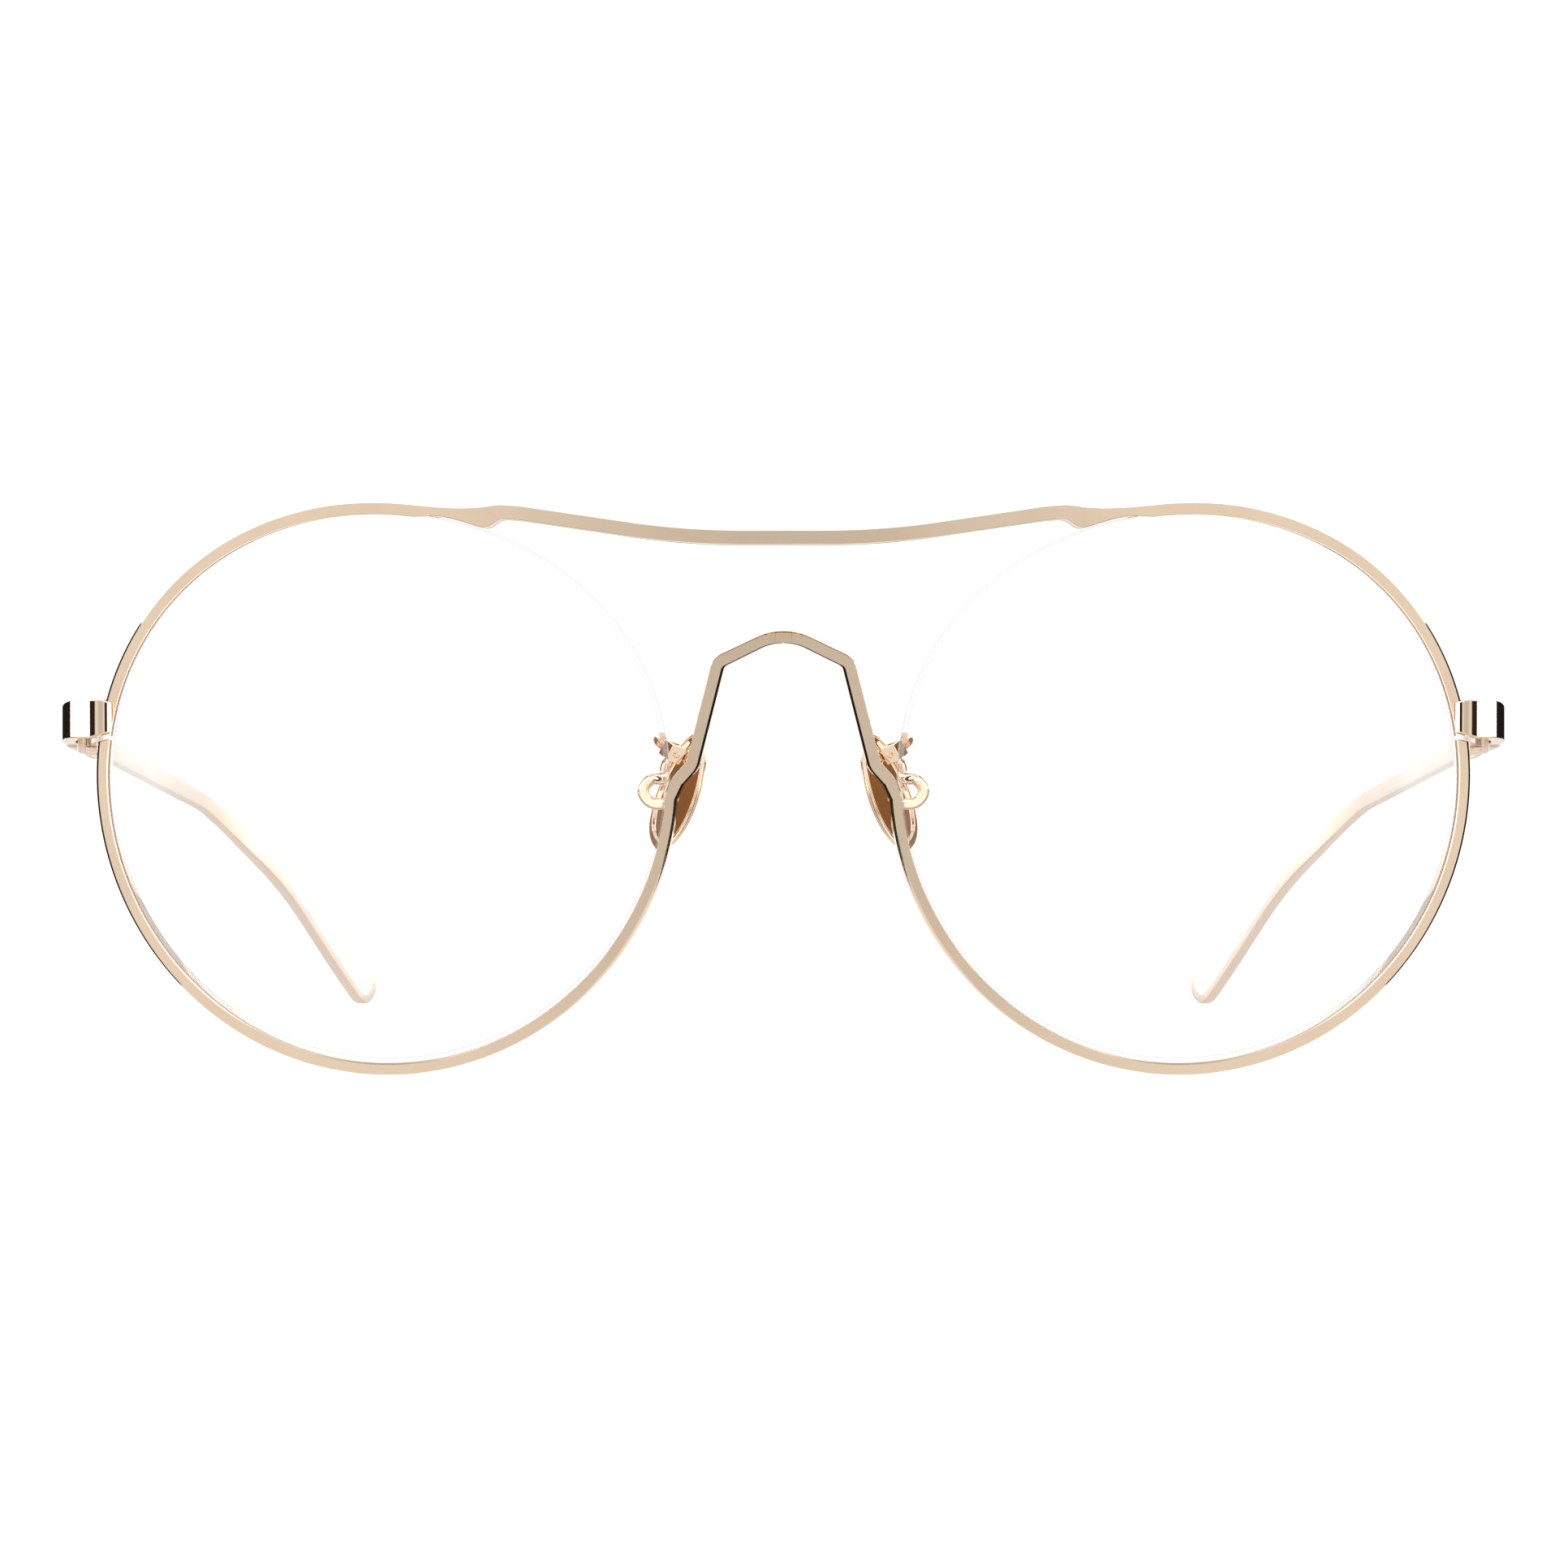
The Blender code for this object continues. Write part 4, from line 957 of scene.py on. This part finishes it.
def make_materials():
    """All the finishes by name."""
    finishes = {}
    finishes["wire"] = metal("rose_gold_wire", (0.93, 0.72, 0.53), (0.96, 0.76, 0.56), (0.04, 0.09),
                             relief=0.02)
    finishes["polished"] = metal("rose_gold_polished", (0.95, 0.74, 0.54), (0.97, 0.77, 0.58),
                                 (0.02, 0.06), relief=0.02)
    # The temple finish is also used on the wings, rim locks and hinges, and carries painted lightening at
    # the front.
    finishes["temple"] = temple_metal()
    finishes["screw"] = metal("rose_gold_screw", (0.88, 0.66, 0.47), (0.92, 0.71, 0.52),
                              (0.10, 0.20), relief=0.08)

    material, tree, shader = new_material("clear_lens_glass")
    shader.inputs["Base Color"].default_value = (1.0, 1.0, 1.0, 1.0)
    shader.inputs["Transmission Weight"].default_value = 1.0
    shader.inputs["IOR"].default_value = 1.5
    tree.links.new(spread(tree, noise(tree, 90.0), 0.0, 0.012), shader.inputs["Roughness"])
    finishes["glass"] = material

    material, tree, shader = new_material("ground_lens_edge")
    edge = noise(tree, 3000.0, 3.0)
    tree.links.new(tint(tree, edge, (0.93, 0.91, 0.90), (0.95, 0.94, 0.93)), shader.inputs["Base Color"])
    shader.inputs["Alpha"].default_value = 0.35
    shader.inputs["Specular IOR Level"].default_value = 0.15
    tree.links.new(spread(tree, edge, 0.40, 0.55), shader.inputs["Roughness"])
    finishes["ground"] = material

    # A grey line of painted shade at the borders of the ground faces; the glass itself has no grey.
    material, tree, shader = new_material("ground_lens_shade_line")
    edge = noise(tree, 900.0, 2.0)
    tree.links.new(tint(tree, edge, (0.42, 0.38, 0.36), (0.56, 0.52, 0.50)), shader.inputs["Base Color"])
    shader.inputs["Alpha"].default_value = 0.6
    shader.inputs["Specular IOR Level"].default_value = 0.15
    tree.links.new(spread(tree, edge, 0.45, 0.60), shader.inputs["Roughness"])
    finishes["line"] = material

    material, tree, shader = new_material("milky_cushion")
    cloud = noise(tree, 420.0, 3.0)
    tree.links.new(tint(tree, cloud, (0.87, 0.80, 0.74), (0.94, 0.89, 0.85)),
                   shader.inputs["Base Color"])
    shader.inputs["Subsurface Weight"].default_value = 0.35
    shader.inputs["Subsurface Scale"].default_value = 0.0012
    shader.inputs["Subsurface Radius"].default_value = (1.0, 0.8, 0.65)
    tree.links.new(spread(tree, cloud, 0.30, 0.45), shader.inputs["Roughness"])
    bump(tree, shader, noise(tree, 2500.0, 4.0), 0.08, 0.00003)
    finishes["cushion"] = material
    return finishes


# -------------------------------------- studio
def ramp_node(tree, value, stops):
    """Grey ramp over a value that is 1 at 180 degrees; stops are (degrees, brightness)."""
    ramp = tree.nodes.new("ShaderNodeValToRGB")
    elements = ramp.color_ramp.elements
    while len(elements) < len(stops):
        elements.new(0.5)
    for element, (position, level) in zip(elements, stops):
        element.position = position / 180.0
        element.color = (*[level / BRIGHTEST] * 3, 1.0)
    tree.links.new(value, ramp.inputs["Fac"])
    return ramp.outputs["Color"]


def math_node(tree, operation, first, second=None):
    """A Math node with linked or plain inputs."""
    node = tree.nodes.new("ShaderNodeMath")
    node.operation = operation
    for socket, value in zip(node.inputs, (first, second)):
        if value is None:
            continue
        if isinstance(value, float):
            socket.default_value = value
        else:
            tree.links.new(value, socket)
    return node.outputs["Value"]


def blend(tree, factor, first, last):
    """Mix of two colours by a linked factor."""
    node = tree.nodes.new("ShaderNodeMix")
    node.data_type = "RGBA"
    tree.links.new(factor, node.inputs["Factor"])
    tree.links.new(first, node.inputs["A"])
    tree.links.new(last, node.inputs["B"])
    return node.outputs["Result"]


def step(tree, value, low, high):
    """0 below low, 1 above high, smooth between."""
    node = tree.nodes.new("ShaderNodeMapRange")
    node.interpolation_type = "SMOOTHSTEP"
    node.inputs["From Min"].default_value = low
    node.inputs["From Max"].default_value = high
    tree.links.new(value, node.inputs["Value"])
    return node.outputs["Result"]


def make_world():
    """White studio; polished metal sees softboxes and dark bands round it."""
    world = bpy.data.worlds.new("studio")
    bpy.context.scene.world = world
    world.use_nodes = True
    tree = world.node_tree
    tree.nodes.clear()
    coordinates = tree.nodes.new("ShaderNodeTexCoord")
    split = tree.nodes.new("ShaderNodeSeparateXYZ")
    tree.links.new(coordinates.outputs["Generated"], split.inputs["Vector"])
    sideways = math_node(tree, "ABSOLUTE", split.outputs["X"])
    forward = math_node(tree, "MULTIPLY", split.outputs["Y"], -1.0)
    angle = math_node(tree, "ARCTAN2", sideways, forward)
    turn = math_node(tree, "DIVIDE", angle, math.pi)

    level = ramp_node(tree, turn, (
        (0.0, 0.60), (12.4, 0.65), (15.5, 0.81), (22.5, 0.84), (24.8, 0.02), (37.0, 0.02),
        (38.5, 2.6), (98.0, 2.6), (125.0, 1.3), (180.0, 0.95)))
    around = ramp_node(tree, turn, (
        (0.0, 0.62), (12.4, 0.68), (15.5, 0.82), (24.0, 0.88), (38.0, 1.5), (98.0, 1.5),
        (125.0, 1.2), (180.0, 0.9)))
    upper = ramp_node(tree, turn, (
        (0.0, 0.64), (12.4, 0.7), (15.5, 0.84), (24.0, 0.9), (36.0, 2.4), (120.0, 2.4),
        (150.0, 1.2), (180.0, 0.85)))
    lower = ramp_node(tree, turn, (
        (0.0, 0.58), (12.4, 0.63), (15.5, 0.77), (24.0, 0.85), (80.0, 0.9), (94.0, 0.9),
        (96.0, 0.02), (106.0, 0.02), (110.0, 0.9), (180.0, 0.9)))
    height = split.outputs["Z"]
    downward = math_node(tree, "MULTIPLY", height, -1.0)
    tilt = math_node(tree, "ABSOLUTE", height)
    pattern = blend(tree, step(tree, tilt, 0.06, 0.09), level, around)
    pattern = blend(tree, step(tree, height, 0.09, 0.16), pattern, upper)
    pattern = blend(tree, step(tree, downward, 0.09, 0.16), pattern, lower)
    floor_light = ramp_node(tree, turn, ((0.0, 0.8), (180.0, 0.8)))
    pattern = blend(tree, step(tree, downward, 0.70, 0.85), pattern, floor_light)
    ceiling = ramp_node(tree, turn, ((0.0, 0.85), (180.0, 0.85)))
    pattern = blend(tree, step(tree, height, 0.80, 0.95), pattern, ceiling)

    reflected = tree.nodes.new("ShaderNodeBackground")
    reflected.inputs["Strength"].default_value = BRIGHTEST
    tree.links.new(pattern, reflected.inputs["Color"])
    seen = tree.nodes.new("ShaderNodeBackground")
    seen.inputs["Color"].default_value = (1.0, 1.0, 1.0, 1.0)
    seen.inputs["Strength"].default_value = 1.25
    path = tree.nodes.new("ShaderNodeLightPath")
    choose = tree.nodes.new("ShaderNodeMixShader")
    outside = math_node(tree, "SUBTRACT", 1.0, path.outputs["Is Transmission Ray"])
    mirrored = math_node(tree, "MULTIPLY", path.outputs["Is Glossy Ray"], outside)
    tree.links.new(mirrored, choose.inputs["Fac"])
    tree.links.new(seen.outputs["Background"], choose.inputs[1])
    tree.links.new(reflected.outputs["Background"], choose.inputs[2])
    output = tree.nodes.new("ShaderNodeOutputWorld")
    tree.links.new(choose.outputs["Shader"], output.inputs["Surface"])


def add_sheet(name, corners, material):
    """A flat sheet, left unattached to any body of the glasses."""
    builder = bmesh.new()
    builder.faces.new([builder.verts.new(corner) for corner in corners])
    mesh = bpy.data.meshes.new(name)
    builder.to_mesh(mesh)
    builder.free()
    mesh.materials.append(material)
    sheet = bpy.data.objects.new(name, mesh)
    bpy.context.scene.collection.objects.link(sheet)
    return sheet


def make_floor():
    """A wide pale floor that the glasses stand on."""
    material, tree, shader = new_material("pale_floor")
    paper = noise(tree, 60.0, 2.0)
    tree.links.new(tint(tree, paper, (0.36, 0.36, 0.36), (0.38, 0.38, 0.38)),
                   shader.inputs["Base Color"])
    shader.inputs["Roughness"].default_value = 0.9
    shader.inputs["Specular IOR Level"].default_value = 0.0
    shader.inputs["Emission Color"].default_value = (1.0, 1.0, 1.0, 1.0)
    shader.inputs["Emission Strength"].default_value = 0.85
    corners = [(a * FLOOR_REACH, b * FLOOR_REACH, -FLOOR_DROP)
               for a, b in ((-1, -1), (1, -1), (1, 1), (-1, 1))]
    add_sheet("floor", corners, material).visible_glossy = False


def make_flag(side, label):
    """A dark or brown card beside the front, which only reflections show."""
    x, front, back, low, high = FLAG_CARDS[label]
    x *= side
    name = SIDE_NAMES[side] + "_flag_" + label
    material, tree, shader = new_material(name)
    shader.inputs["Base Color"].default_value = (*FLAG_COLOURS.get(label, BLACK), 1.0)
    shader.inputs["Roughness"].default_value = 1.0
    shader.inputs["Specular IOR Level"].default_value = 0.0
    path = tree.nodes.new("ShaderNodeLightPath")
    clear = tree.nodes.new("ShaderNodeBsdfTransparent")
    choose = tree.nodes.new("ShaderNodeMixShader")
    output = tree.nodes["Material Output"]
    tree.links.new(path.outputs["Is Transmission Ray"], choose.inputs["Fac"])
    tree.links.new(shader.outputs["BSDF"], choose.inputs[1])
    tree.links.new(clear.outputs["BSDF"], choose.inputs[2])
    tree.links.new(choose.outputs["Shader"], output.inputs["Surface"])
    flag = add_sheet(name, [(x, front, low), (x, back, low), (x, back, high), (x, front, high)], material)
    flag.visible_camera = False
    flag.visible_diffuse = False
    flag.visible_transmission = False
    flag.visible_shadow = False


def make_light():
    """A large soft light overhead."""
    data = bpy.data.lights.new("overhead", "AREA")
    data.shape = "DISK"
    data.size = 0.6
    data.energy = 1.2
    light = bpy.data.objects.new("overhead", data)
    light.location = LIGHT_PLACE
    light.visible_glossy = False
    bpy.context.scene.collection.objects.link(light)


def make_camera():
    """The camera straight in front, level with the middle of the lenses."""
    data = bpy.data.cameras.new("camera")
    data.sensor_width = 36.0
    data.lens = CAMERA_LENS
    data.clip_start = 0.01
    camera = bpy.data.objects.new("camera", data)
    camera.location = (CAMERA_ASIDE, -HALF_DEPTH * MM - CAMERA_DISTANCE, CAMERA_HEIGHT)
    camera.rotation_euler = (math.radians(90.0), 0.0, 0.0)
    bpy.context.scene.collection.objects.link(camera)
    bpy.context.scene.camera = camera


def main():
    """Build every visible piece, the studio and the camera."""
    make_camera()
    make_world()
    make_floor()
    for label in FLAG_CARDS:
        make_flag(LEFT, label)
        make_flag(RIGHT, label)
    make_light()
    bpy.context.scene.view_settings.view_transform = "Standard"
    finish = make_materials()
    make_wire("brow_wire", brow_stations(), finish["wire"])
    make_wire("bridge_wire", bridge_stations(), finish["wire"])
    outside = (KNUCKLE_SPLIT + KNUCKLE_GAP, HINGE_HALF)
    for side in (LEFT, RIGHT):
        arm = SIDE_NAMES[side] + "_temple_arm"
        make_lens(side, [finish["glass"], finish["ground"], finish["line"]])
        make_endpiece(side, finish["polished"], finish["temple"])
        make_rim_locks(side, finish["temple"], finish["temple"])
        make_leaf(side, "_front_hinge", -1, FRONT_LEAF,
                  ((-outside[1], -outside[0]), outside), finish["temple"], "front")
        make_leaf(side, "_temple_hinge", 1, TEMPLE_LEAF,
                  ((-KNUCKLE_SPLIT, KNUCKLE_SPLIT),), finish["temple"], arm)
        make_hinge_screw(side, finish["temple"])
        make_temple(side, finish["temple"], finish["cushion"])
        make_nose_pad(side, finish["polished"])
        make_pad_box(side, finish["polished"])
        make_pad_screw(side, finish["screw"])
        make_pad_arm(side, finish["polished"])
    bpy.context.view_layer.update()


main()
